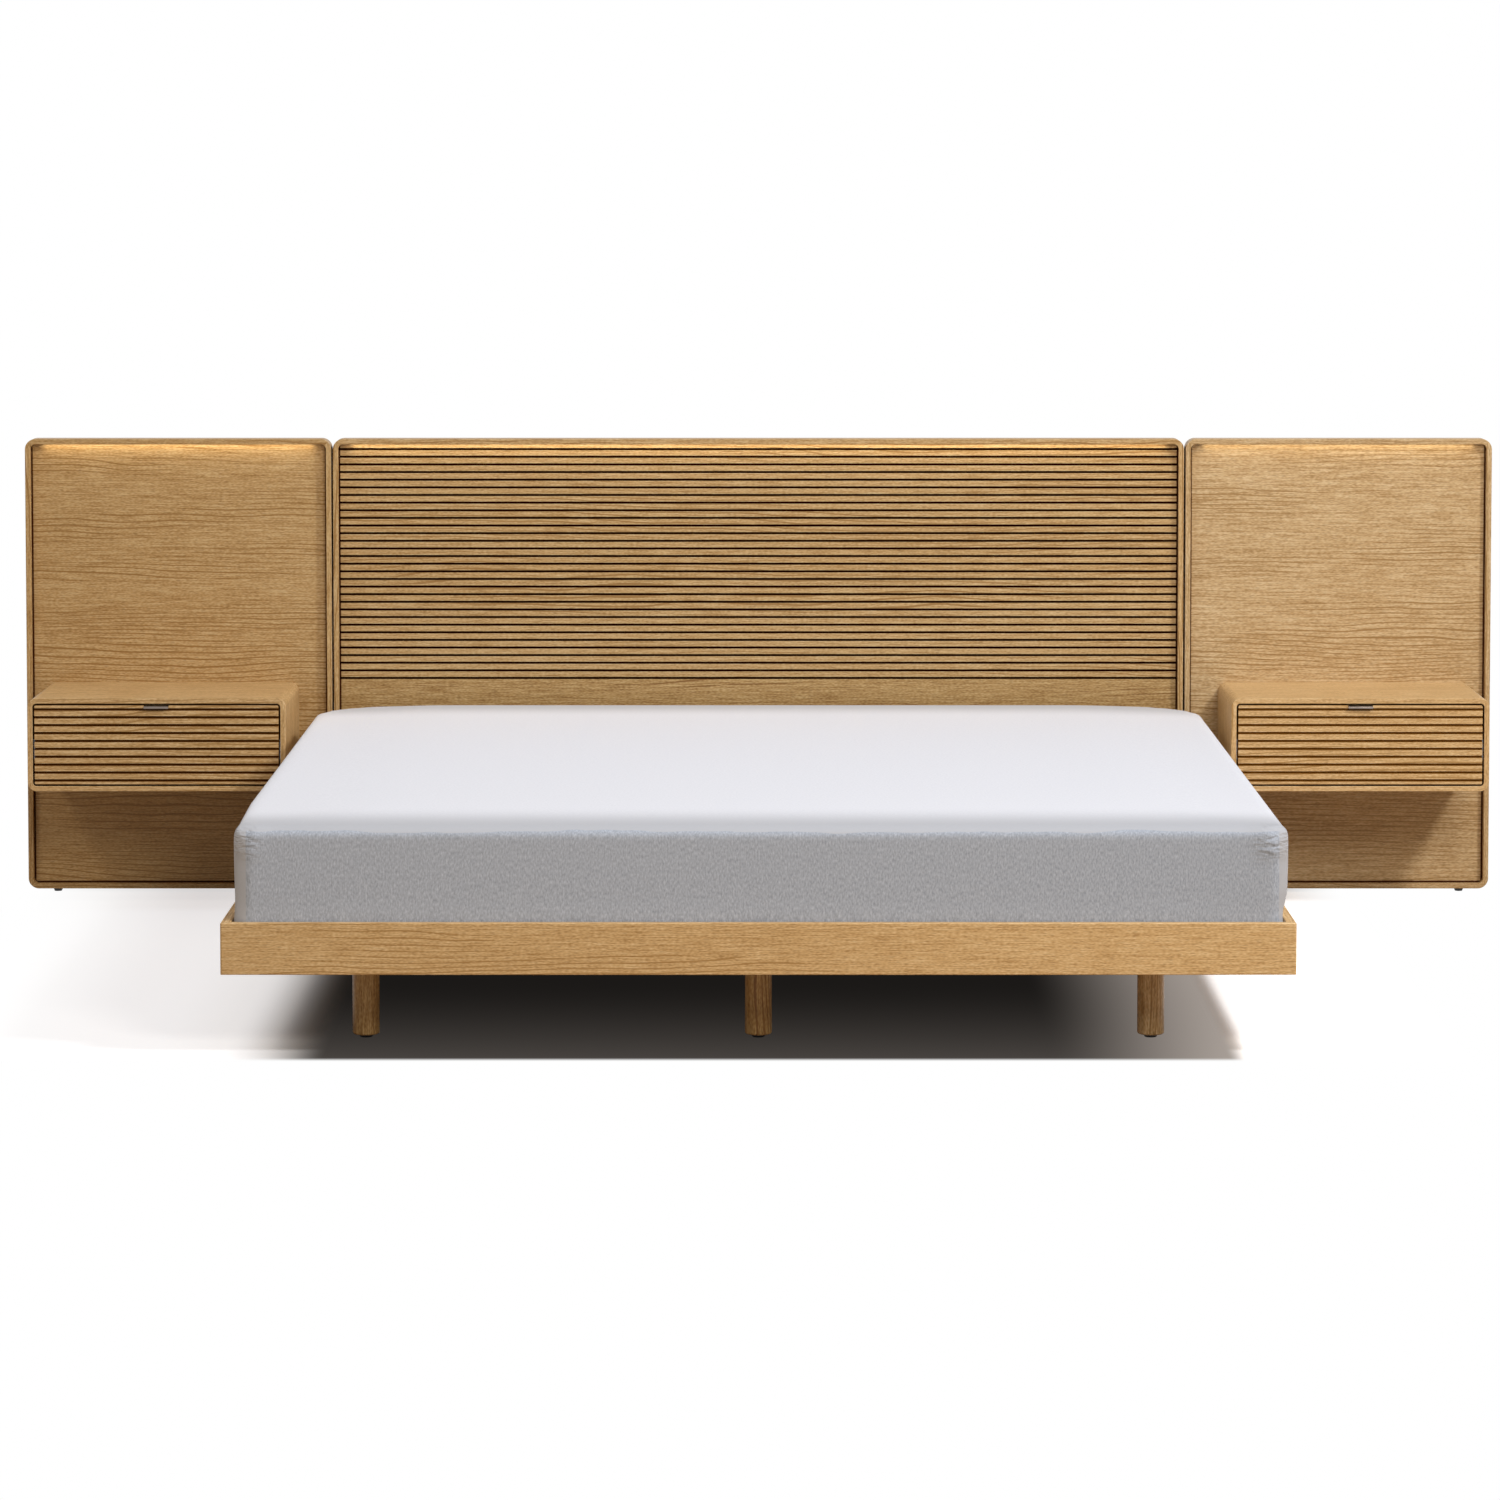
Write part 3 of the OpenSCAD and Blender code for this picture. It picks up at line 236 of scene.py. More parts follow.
def oak_figure(tree, space, seed, arch_mm=(1300, 150), ring_mm=11.0):
    """Lightness of crown-cut oak from 0 to 1, its pores and its fibres. The real fibres and
    pores are 0.3 mm wide; they are drawn about 2 mm wide so that they show."""
    layers = {}
    for name, (length, width, detail) in {**FIGURE, "arch": (*arch_mm, 1.0)}.items():
        layers[name] = grain_of_size(
            tree, (length, width, width), detail, space, Location=(seed * 3.7, seed * 5.3, seed),
        )
    layers["line"] = ring_lines(tree, space, layers, arch_mm, ring_mm)
    tone = MEAN_LIGHTNESS - 0.5 * sum(share for share in SHARES.values() if share > 0)
    for name, share in SHARES.items():
        tone = add_node(tree, "ShaderNodeMath", {
            0: layers[name], 1: share, 2: tone,
        }, operation="MULTIPLY_ADD").outputs[0]
    pores = add_node(tree, "ShaderNodeMapRange", {
        "Value": layers["pore"], "From Min": 0.60, "From Max": 0.72,
    }).outputs[0]
    return tone, pores, layers["fibre"]


# ---------- wood: painted shade in grooves and joints -------

# how thick the members of the rims and of the cases are
RIM_THICK = 12 * MM
CASE_THICK = 12 * MM
# width of the painted shade line on a board beside its rim
RIM_LINE = 5 * MM
# how far back from a face its painted shade reaches, a little more than a groove's depth
SHADE_REACH = 12 * MM
# width of the joint between two panels of the headboard
PANEL_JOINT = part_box("right_rim")[0].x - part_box("middle_rim")[1].x


def near_front(tree, share, front):
    """A share of painted shade, kept off everything that lies far behind the face at depth front."""
    near = add_node(tree, "ShaderNodeMath", {
        0: split_place(tree)["Y"], 1: front + SHADE_REACH,
    }, operation="LESS_THAN")
    return add_node(tree, "ShaderNodeMath", {
        0: share, 1: near.outputs[0],
    }, operation="MULTIPLY").outputs[0]


def groove_stain(tree, front):
    """Share of painted shade in a groove: 0 on the face at depth front, 1 from 1 mm behind it."""
    back = add_node(tree, "ShaderNodeMapRange", {
        "Value": split_place(tree)["Y"], "From Min": front + 0.1 * MM, "From Max": front + 1.0 * MM,
    }, interpolation_type="SMOOTHSTEP")
    return near_front(tree, back.outputs[0], front)


def inner_stain(tree, node, thick, front):
    """The same for the inner faces of a frame whose members are thick: 0 as far back as front."""
    room = frame_room(tree, node)
    least = add_node(tree, "ShaderNodeMath", {0: room["X"], 1: room["Z"]}, operation="MINIMUM")
    inner = add_node(tree, "ShaderNodeMath", {
        0: least.outputs[0], 1: 0.6 * thick,
    }, operation="GREATER_THAN")
    place = split_place(tree)
    back = add_node(tree, "ShaderNodeMapRange", {
        "Value": place["Y"], "From Min": front, "From Max": front + 3 * MM,
    })
    # painted shade, without sheen, also on the sides that face the neighbouring panel, where a narrow
    # joint lies in shade
    aside = add_node(tree, "ShaderNodeMath", {0: place["X"]}, operation="ABSOLUTE")
    joint = add_node(tree, "ShaderNodeMath", {
        0: aside.outputs[0],
        1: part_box("middle_rim")[1].x + PANEL_JOINT / 2,
        2: PANEL_JOINT / 2 + 0.5 * MM,
    }, operation="COMPARE")
    faces = add_node(tree, "ShaderNodeMath", {
        0: near_front(tree, inner.outputs[0], front), 1: joint.outputs[0],
    }, operation="MAXIMUM")
    return add_node(tree, "ShaderNodeMath", {
        0: faces.outputs[0], 1: back.outputs[0],
    }, operation="MULTIPLY").outputs[0]


def edge_stain(tree, node, rim):
    """The same for the strip of a board beside its rim, left, right and below."""
    room = frame_room(tree, rim)
    level = add_node(tree, "ShaderNodeMath", {
        0: split_place(tree)["Z"], 1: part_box(rim)[0].z,
    }, operation="SUBTRACT")
    least = add_node(tree, "ShaderNodeMath", {0: room["X"], 1: level.outputs[0]}, operation="MINIMUM")
    strip = add_node(tree, "ShaderNodeMapRange", {
        "Value": least.outputs[0],
        "From Min": RIM_THICK + RIM_LINE, "From Max": RIM_THICK + 0.5 * RIM_LINE,
    })
    return near_front(tree, strip.outputs[0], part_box(node)[0].y)


# ---------- wood: finishes ----------

# each finish in four tones: dark, middle, pale and pore
OAK_TONES = ("#A8814D", "#CCA773", "#E0C191", "#8A6639")
VENEER_TONES = ("#97713F", "#B99562", "#CDAF80", "#7A592F")
# a darker, warmer copy of the veneer; on the left and middle legs it stands as painted shade
WARM_VENEER_TONES = ("#855F32", "#AC8955", "#C6A876", "#6C4C26")
# a paler copy of the veneer: painted light on the right panel and the right legs
PAINTED_LIGHT_VENEER_TONES = ("#9B794A", "#BD9D70", "#D2B88F", "#7E6038")
PINE_TONES = ("#C79F66", "#DFC08D", "#EBD3A6", "#B98C52")
# dark tone of the painted shade in grooves and joints
GROOVE_SHADE_TONE = "#360E01"
# a satin lacquer reflects less than a bare Principled surface; parts under painted shade reflect nothing
WOOD_SHEEN = 0.30
# how much of its own tone a pore shows
PORE_SHARE = 0.38


def oak(name, space, tones, seed, roughness=0.44, stain=None, stain_tone=GROOVE_SHADE_TONE, **figure):
    """Oak under a satin lacquer: the rings and fibres show, with a soft wide highlight. Where a shade
    share is given, it says how much of the wood is darkened as painted shade."""
    material, tree = new_material(name)
    tone, pores, fibre = oak_figure(tree, space(tree), seed, **figure)
    dark, middle, pale, pore = tones
    plain = add_node(tree, "ShaderNodeValToRGB", {"Fac": tone},
                     stops=((0.22, dark), (0.52, middle), (0.80, pale))).outputs["Color"]
    share = add_node(tree, "ShaderNodeMath", {0: pores, 1: PORE_SHARE}, operation="MULTIPLY")
    colour = add_node(tree, "ShaderNodeMix", {
        0: share.outputs[0], 6: plain, 7: linear(pore),
    }, data_type="RGBA").outputs[2]
    sheen = WOOD_SHEEN
    # painted shade: in grooves and joints the wood darkens to the shade tone and loses its sheen
    if stain is not None:
        share = stain(tree)
        colour = add_node(tree, "ShaderNodeMix", {
            0: share, 6: colour, 7: linear(stain_tone),
        }, data_type="RGBA").outputs[2]
        sheen = add_node(tree, "ShaderNodeMapRange", {
            "Value": share, "To Min": WOOD_SHEEN, "To Max": 0.0,
        }).outputs[0]
    relief = add_node(tree, "ShaderNodeBump", {"Height": fibre, "Distance": 0.12 * MM, "Strength": 0.5})
    finish_surface(tree, {
        "Base Color": colour,
        "Roughness": roughness,
        "Specular IOR Level": sheen,
        "Normal": relief.outputs["Normal"],
    })
    return material


def oak_board(name, seed, tones, **figure):
    """Oak veneer with a level crown-cut figure, a shade darker than the solid wood."""
    return oak(name, along("X"), tones, seed, **figure)


def oak_ribs(name, node, seed, tones, rim=None, **figure):
    """Milled ribs: straighter grain, and painted shade down in the grooves and beside a rim."""
    def stain(tree):
        share = groove_stain(tree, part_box(node)[0].y)
        if rim is None:
            return share
        return add_node(tree, "ShaderNodeMath", {
            0: share, 1: edge_stain(tree, node, rim),
        }, operation="MAXIMUM").outputs[0]

    return oak_board(name, seed, tones, arch_mm=(1900, 210), stain=stain, **figure)


def oak_frame(name, node, seed, thick, front, tones=OAK_TONES):
    """Mitred frame with painted shade on its inner faces from front backwards."""
    return oak(
        name, round_frame(node), tones, seed,
        stain=lambda tree: inner_stain(tree, node, thick, front),
    )


def pine(name, axis):
    """Planed pine, unfinished: pale and dull, with wide soft rings."""
    return oak(name, along(axis), PINE_TONES, 7.7, roughness=0.62, ring_mm=14.0)


# two veneers of plywood, one darker than the other
PLY_PAIR = 2.8 * MM


def birch_ply(name, thick, axis):
    """Sealed birch plywood: pale and even, its veneers show as lines on every edge, and every
    second one is darker. thick is the axis across the sheet."""
    material, tree = new_material(name)
    place = split_place(tree)
    tone, _, fibre = oak_figure(tree, straight_grain(tree, axis), 2.9, ring_mm=20.0)
    veneer = add_node(tree, "ShaderNodeMath", {
        0: place[thick], 1: 1 / PLY_PAIR,
    }, operation="MULTIPLY")
    turn = add_node(tree, "ShaderNodeMath", {0: veneer.outputs[0]}, operation="FRACT")
    dark = add_node(tree, "ShaderNodeMath", {0: turn.outputs[0], 1: 0.5}, operation="GREATER_THAN")
    share = add_node(tree, "ShaderNodeMath", {0: dark.outputs[0], 1: 0.45}, operation="MULTIPLY")
    face = add_node(tree, "ShaderNodeValToRGB", {"Fac": tone},
                    stops=((0.25, "#CDB184"), (0.55, "#DCC49B"), (0.85, "#E8D5B0")))
    laid = add_node(tree, "ShaderNodeMix", {
        0: share.outputs[0], 6: face.outputs["Color"], 7: linear("#A98457"),
    }, data_type="RGBA")
    relief = add_node(tree, "ShaderNodeBump", {"Height": fibre, "Distance": 0.08 * MM, "Strength": 0.4})
    finish_surface(tree, {
        "Base Color": laid.outputs[2],
        "Roughness": 0.5,
        "Normal": relief.outputs["Normal"],
    })
    return material


# ---------- metal and plastic ----------

def zinc_plated(name, drawn=False):
    """Zinc-plated steel: cool grey with a faint mottle, or with lines along a drawn runner, which
    are drawn 1.5 mm wide so that they show."""
    material, tree = new_material(name)
    mottle = grain_of_size(tree, (1.5, 90, 1.5) if drawn else (6, 6, 6), 3.0)
    colour = add_node(tree, "ShaderNodeValToRGB", {"Fac": mottle},
                      stops=((0.3, "#A9ADB1"), (0.7, "#C6C9CC")))
    relief = add_node(tree, "ShaderNodeBump", {"Height": mottle, "Distance": 0.05 * MM, "Strength": 0.3})
    finish_surface(tree, {
        "Base Color": colour.outputs["Color"],
        "Metallic": 1.0,
        "Roughness": 0.36,
        "Normal": relief.outputs["Normal"],
    })
    return material


def dark_bronze():
    """Bent sheet in dark bronze, brushed along its width: a dull gleam in level lines, which are
    drawn 0.8 mm wide so that they show."""
    material, tree = new_material("bronze_dark_brushed")
    lines = grain_of_size(tree, (30, 0.8, 0.8))
    colour = add_node(tree, "ShaderNodeValToRGB", {"Fac": lines},
                      stops=((0.3, "#6E6259"), (0.7, "#8F837A")))
    relief = add_node(tree, "ShaderNodeBump", {"Height": lines, "Distance": 0.03 * MM, "Strength": 0.4})
    finish_surface(tree, {
        "Base Color": colour.outputs["Color"],
        "Metallic": 1.0,
        "Roughness": 0.33,
        "Normal": relief.outputs["Normal"],
    })
    return material


def anodised_channel():
    """Extruded aluminium, clear anodised: pale and matt, with faint lines along the extrusion,
    which are drawn 0.9 mm wide so that they show."""
    material, tree = new_material("aluminium_anodised")
    lines = grain_of_size(tree, (60, 0.9, 0.9))
    colour = add_node(tree, "ShaderNodeValToRGB", {"Fac": lines},
                      stops=((0.3, "#B4B6B8"), (0.7, "#CDCFD0")))
    finish_surface(tree, {
        "Base Color": colour.outputs["Color"],
        "Metallic": 1.0,
        "Roughness": 0.42,
    })
    return material


def moulded_nylon():
    """Black moulded nylon: dull, with a grained skin, drawn 1.2 mm coarse so that it shows."""
    material, tree = new_material("nylon_moulded")
    skin = grain_of_size(tree, (1.2, 1.2, 1.2))
    colour = add_node(tree, "ShaderNodeValToRGB", {"Fac": skin},
                      stops=((0.3, "#161617"), (0.7, "#242425")))
    relief = add_node(tree, "ShaderNodeBump", {"Height": skin, "Distance": 0.06 * MM, "Strength": 0.4})
    finish_surface(tree, {
        "Base Color": colour.outputs["Color"],
        "Roughness": 0.55,
        "Normal": relief.outputs["Normal"],
    })
    return material


DIFFUSER_GLOW = 7.0


def lit_diffuser():
    """Opal polycarbonate lit from behind by warm white diodes: an even warm glow."""
    material, tree = new_material("opal_polycarbonate_lit")
    haze = grain_of_size(tree, (25, 25, 25))
    colour = add_node(tree, "ShaderNodeValToRGB", {"Fac": haze},
                      stops=((0.3, "#F2E7D2"), (0.7, "#FBF2E0")))
    # the right strip burns a little weaker than the other two
    glow = add_node(tree, "ShaderNodeMapRange", {
        "Value": split_place(tree)["X"], "From Min": 0.95, "From Max": 1.0,
        "To Min": 1.17 * DIFFUSER_GLOW, "To Max": 0.86 * DIFFUSER_GLOW,
    }).outputs[0]
    finish_surface(tree, {
        "Base Color": colour.outputs["Color"],
        "Roughness": 0.45,
        "Emission Color": linear("#FFF3D9"),
        "Emission Strength": glow,
    })
    return material


# ---------- mattress: the cover's finish ----------

# the cover's lightness in its middle, and what each metre adds as painted light: paler on its left and
# towards the head, where the lamps light the top less
COVER_TONE = 0.975
COVER_PAINTED_LIGHT_SLOPES = {"X": -0.09, "Y": 0.085}
# how far from the ends the painted shade starts to grey the white and where it is fullest, and its share
# there
END_SHADE_FROM = 260 * MM
END_SHADE_FULL = 6 * MM
END_SHADE_SHARE = 0.85
# how far the grey borders begin from the sides and from the ends, and how far right they lie
BORDER_SIDE = 17 * MM
BORDER_END = 26 * MM
BORDER_SHIFT = 8 * MM
# how high the crests of their seam reach over the mattress's box, and how deep its waves go
SEAM_CREST = 2 * MM
SEAM_WAVE = 24 * MM


def cover_end_shade(tree, place):
    """Share of painted shade in the white, growing towards the seams at the foot and the head, where the
    top rolls over.
    """
    low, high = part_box("mattress")
    half = (high.y - low.y) / 2
    off = add_node(tree, "ShaderNodeMath", {
        0: place["Y"], 1: (low.y + high.y) / 2,
    }, operation="SUBTRACT")
    out = add_node(tree, "ShaderNodeMath", {0: off.outputs[0]}, operation="ABSOLUTE")
    return add_node(tree, "ShaderNodeMapRange", {
        "Value": out.outputs[0],
        "From Min": half - END_SHADE_FROM, "From Max": half - END_SHADE_FULL, "To Max": END_SHADE_SHARE,
    }, interpolation_type="SMOOTHERSTEP").outputs[0]


def cover_border(tree, place):
    """1 on the grey borders at the foot and the head, from a wavy seam down and as far as the
    corners."""
    low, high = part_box("mattress")
    waves = grain_of_size(tree, (160, 160, 160))
    wavy = add_node(tree, "ShaderNodeMath", {
        0: waves, 1: SEAM_WAVE, 2: place["Z"],
    }, operation="MULTIPLY_ADD").outputs[0]
    half_width = (high.x - low.x) / 2 - BORDER_SIDE
    half_length = (high.y - low.y) / 2 - BORDER_END
    seam = high.z + SEAM_CREST
    border = 1.0
    for value, centre, limit, test in (
        (place["X"], BORDER_SHIFT, half_width, "LESS_THAN"),
        (place["Y"], (low.y + high.y) / 2, half_length, "GREATER_THAN"),
        (wavy, low.z, seam - low.z, "LESS_THAN"),
    ):
        off = add_node(tree, "ShaderNodeMath", {0: value, 1: centre}, operation="SUBTRACT")
        far = add_node(tree, "ShaderNodeMath", {0: off.outputs[0]}, operation="ABSOLUTE")
        inside = add_node(tree, "ShaderNodeMath", {0: far.outputs[0], 1: limit}, operation=test)
        border = add_node(tree, "ShaderNodeMath", {
            0: border, 1: inside.outputs[0],
        }, operation="MULTIPLY").outputs[0]
    return border


def cover_puckers(tree, place):
    """Height of the puckers where the top is drawn over the two corners at the foot."""
    low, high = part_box("mattress")
    pucker = grain_of_size(tree, (26, 30, 10), Rotation=(0, 0.6, 0))
    aside = add_node(tree, "ShaderNodeMath", {0: place["X"]}, operation="ABSOLUTE").outputs[0]
    near = all_of(tree, (
        (aside, high.x - 75 * MM, high.x - 20 * MM),
        (place["Y"], low.y + 60 * MM, low.y + 20 * MM),
        (place["Z"], high.z - 75 * MM, high.z - 35 * MM),
    ))
    return add_node(tree, "ShaderNodeMath", {0: pucker, 1: near}, operation="MULTIPLY").outputs[0]


def mattress_cover():
    """Knitted cover, soft and dull: white on the top and the sides, grey melange on the borders
    at the foot and the head. The stitches are drawn about 4 mm wide so that they show."""
    material, tree = new_material("jersey_knit_and_melange")
    place = split_place(tree)
    stitch = grain_of_size(tree, (4.5, 4.5, 4.5))
    plain = add_node(tree, "ShaderNodeValToRGB", {"Fac": stitch},
                     stops=((0.25, "#E5E7EF"), (0.75, "#F0F2F9")))
    # painted shade: the white greys towards the foot and the head
    white = add_node(tree, "ShaderNodeMix", {
        0: cover_end_shade(tree, place), 6: plain.outputs["Color"], 7: linear("#B3B5BB"),
    }, data_type="RGBA").outputs[2]
    fleck = grain_of_size(tree, (3, 3, 7), 3.0)
    grey = add_node(tree, "ShaderNodeValToRGB", {"Fac": fleck},
                    stops=((0.25, "#979DA8"), (0.5, "#AEB5C1"), (0.75, "#C5CCD8")))
    cloth = add_node(tree, "ShaderNodeMix", {
        0: cover_border(tree, place), 6: white, 7: grey.outputs["Color"],
    }, data_type="RGBA")
    # painted light: the cover is made paler to the left and towards the head
    tone = COVER_TONE
    for axis, slope in COVER_PAINTED_LIGHT_SLOPES.items():
        tone = add_node(tree, "ShaderNodeMath", {
            0: place[axis], 1: slope, 2: tone,
        }, operation="MULTIPLY_ADD").outputs[0]
    toned = add_node(tree, "ShaderNodeVectorMath", {0: cloth.outputs[2], 3: tone}, operation="SCALE")
    height = add_node(tree, "ShaderNodeMath", {
        0: stitch, 1: 0.02, 2: cover_puckers(tree, place),
    }, operation="MULTIPLY_ADD")
    relief = add_node(tree, "ShaderNodeBump", {
        "Height": height.outputs[0], "Distance": 12 * MM, "Strength": 0.6,
    })
    finish_surface(tree, {
        "Base Color": toned.outputs[0],
        "Roughness": 0.9,
        "Sheen Weight": 0.15,
        "Normal": relief.outputs["Normal"],
    })
    return material


# ---------- mattress: its form ----------

# how much larger than its room the block starts, and how far the filling may move it
SPARE = 5 * MM
FILL_MOVES = 7 * MM
# height over the base that the filling leaves where it is
PINNED = 60 * MM
FILL_STEPS = 20
# how far the sides stand out over the rails, over which height that grows, and over which
# length from the foot it grows on the left
SIDE_SWELL = 11 * MM
SWELL_HEIGHT = 60 * MM
SWELL_LENGTH = 400 * MM
# the crown of the top, over which width it rises, and how deep the part is that it lifts
TOP_CROWN = 6 * MM
CROWN_WIDTH = 300 * MM
CROWN_PART = 30 * MM


def read_points(piece):
    """The points of a mesh as an array of rows."""
    points = np.empty(len(piece.data.vertices) * 3)
    piece.data.vertices.foreach_get("co", points)
    return points.reshape(-1, 3)


def write_points(piece, points):
    """Puts the points of a mesh back."""
    piece.data.vertices.foreach_set("co", points.ravel())
    piece.data.update()


def soft_step(share):
    """Eases a share from 0 to 1."""
    return share * share * (3 - 2 * share)


def round_edges(piece, place, radius, steps, tall):
    """Bevels the upright edges at the foot or the head, or those round the top or the base, of a
    block that is tall high."""
    bpy.ops.object.mode_set(mode="EDIT")
    bpy.ops.mesh.select_mode(type="EDGE")
    bpy.ops.mesh.select_all(action="DESELECT")
    bpy.ops.object.mode_set(mode="OBJECT")
    mesh = piece.data
    heights = [v.co.z for v in mesh.vertices]
    level = max(heights) if place == "top" else min(heights)
    end = -1 if place == "foot" else 1
    for edge in mesh.edges:
        a, b = (mesh.vertices[i].co for i in edge.vertices)
        if place in ("foot", "head"):
            edge.select = abs(a.z - b.z) > 0.5 * tall and min(a.y, b.y) * end > 0
        else:
            edge.select = abs(a.z - level) < MM and abs(b.z - level) < MM
    bpy.ops.object.mode_set(mode="EDIT")
    bpy.ops.mesh.bevel(offset=radius, segments=steps, affect="EDGES")
    bpy.ops.object.mode_set(mode="OBJECT")


def fill_mattress(piece):
    """Cloth with pressure, pinned underneath; no point moves further than FILL_MOVES."""
    start = read_points(piece)
    pinned = piece.vertex_groups.new(name="underside")
    base = start[:, 2].min() + PINNED
    pinned.add([int(i) for i in np.nonzero(start[:, 2] < base)[0]], 1.0, "REPLACE")
    cloth = piece.modifiers.new("fill", "CLOTH")
    cloth.settings.quality = 4
    cloth.settings.use_pressure = True
    cloth.settings.uniform_pressure_force = 4.0
    cloth.settings.vertex_group_mass = pinned.name
    cloth.settings.effector_weights.gravity = 0.0
    cloth.point_cache.frame_start = 1
    cloth.point_cache.frame_end = FILL_STEPS
    for step in range(1, FILL_STEPS + 1):
        bpy.context.scene.frame_set(step)
    bpy.ops.object.modifier_apply(modifier=cloth.name)
    bpy.context.scene.frame_set(1)
    piece.vertex_groups.clear()
    moves = read_points(piece) - start
    reach = np.linalg.norm(moves, axis=1, keepdims=True)
    moves *= np.minimum(1.0, FILL_MOVES / np.maximum(reach, 1e-9))
    write_points(piece, start + moves)


def hold_mattress(piece, low, high):
    """Keeps the filled cover inside the room of its solid."""
    write_points(piece, np.clip(read_points(piece), np.array(low), np.array(high)))


def swell_mattress(piece, low, high):
    """Lets the sides stand out over the rails, the left one only away from the foot, and gives
    the top a low crown."""
    points = read_points(piece)
    rail_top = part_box("left_side_rail")[1].z
    lift = np.clip((points[:, 2] - rail_top) / SWELL_HEIGHT, 0, 1)
    back = np.clip((points[:, 1] - low.y) / SWELL_LENGTH, 0, 1)
    back[points[:, 0] > 0] = 1
    points[:, 0] *= 1 + SIDE_SWELL / high.x * soft_step(lift) * back
    inward = np.minimum(high.x - np.abs(points[:, 0]), points[:, 1] - low.y)
    rise = np.clip(inward / CROWN_WIDTH, 0, 1) * (points[:, 2] > high.z - CROWN_PART)
    points[:, 2] += TOP_CROWN * soft_step(rise)
    write_points(piece, points)


def make_mattress():
    """A block with round corners, a little larger than its room, remeshed, filled by cloth
    pressure and held to the room."""
    low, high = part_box("mattress")
    size = high - low
    bpy.ops.object.select_all(action="DESELECT")
    bpy.ops.mesh.primitive_cube_add(
        size=1, location=(low + high) / 2 + Vector((0, 0, SPARE / 2)),
        scale=(size.x + 2 * SPARE, size.y + 2 * SPARE, size.z + SPARE),
    )
    piece = bpy.context.object
    piece.name = "mattress_cover"
    bpy.ops.object.transform_apply(location=True, rotation=True, scale=True)
    for place, radius, steps in (
        ("foot", 32 * MM, 5), ("head", 140 * MM, 10), ("top", 9 * MM, 3), ("base", 12 * MM, 3),
    ):
        round_edges(piece, place, radius, steps, size.z)
    remesh = piece.modifiers.new("remesh", "REMESH")
    remesh.mode = "VOXEL"
    remesh.voxel_size = 20 * MM
    bpy.ops.object.modifier_apply(modifier=remesh.name)
    fill_mattress(piece)
    hold_mattress(piece, low, high)
    smoother = piece.modifiers.new("smoother", "SUBSURF")
    smoother.levels = 1
    smoother.render_levels = 1
    bpy.ops.object.modifier_apply(modifier=smoother.name)
    hold_mattress(piece, low, high)
    swell_mattress(piece, low, high)
    bpy.ops.object.shade_smooth()
    piece.data.materials.append(mattress_cover())
    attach(piece, "bed")
    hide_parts("mattress")


# ---------- floor and surroundings ----------

# the floor's tone for rays that see it, over 1 so that it burns out to white, and for the light
# that it gives back to the bed
FLOOR_SHOWN = 1.8
FLOOR_BOUNCE = "#B8A084"
# the bed's painted shade on the floor: where it fades out behind, left and right, and where it ends in
# front
SHADE_BACK = (0.6, 0.2)
SHADE_LEFT = (-1.03, -0.82)
SHADE_RIGHT = (0.955, 0.89)
SHADE_FRONT = -1072 * MM
# where the floor starts to run out to plain white, and where it is: in front, behind, right, left
WHITE_FROM = (
    ("Y", SHADE_FRONT, SHADE_FRONT - 40 * MM),
    ("Y", 1.04, 1.07),
    ("X", 1.05, 1.35),
    ("X", -1.25, -1.7),
)
# how much light its front edge adds to the painted shade, and what it keeps from its middle to its right
NEAR_SHADE = 0.052
DEEP_SHADE = (0.011, 0.39)


def floor_shade(tree, place):
    """Painted shade on the floor under the bed: dark, lighter in front and towards the right."""
    front = add_node(tree, "ShaderNodeMapRange", {
        "Value": place["Y"], "From Min": -0.2, "From Max": -1.08,
    })
    depth = add_node(tree, "ShaderNodeMath", {0: front.outputs[0], 1: 2.0}, operation="POWER")
    aside = add_node(tree, "ShaderNodeMapRange", {
        "Value": place["X"], "From Min": 0.55, "From Max": 1.0,
        "To Min": DEEP_SHADE[0], "To Max": DEEP_SHADE[1],
    }, interpolation_type="SMOOTHSTEP")
    faint = add_node(tree, "ShaderNodeMath", {
        0: depth.outputs[0], 1: NEAR_SHADE, 2: aside.outputs[0],
    }, operation="MULTIPLY_ADD")
    return add_node(tree, "ShaderNodeEmission", {
        "Color": linear("#FFF1E6"), "Strength": faint.outputs[0],
    })


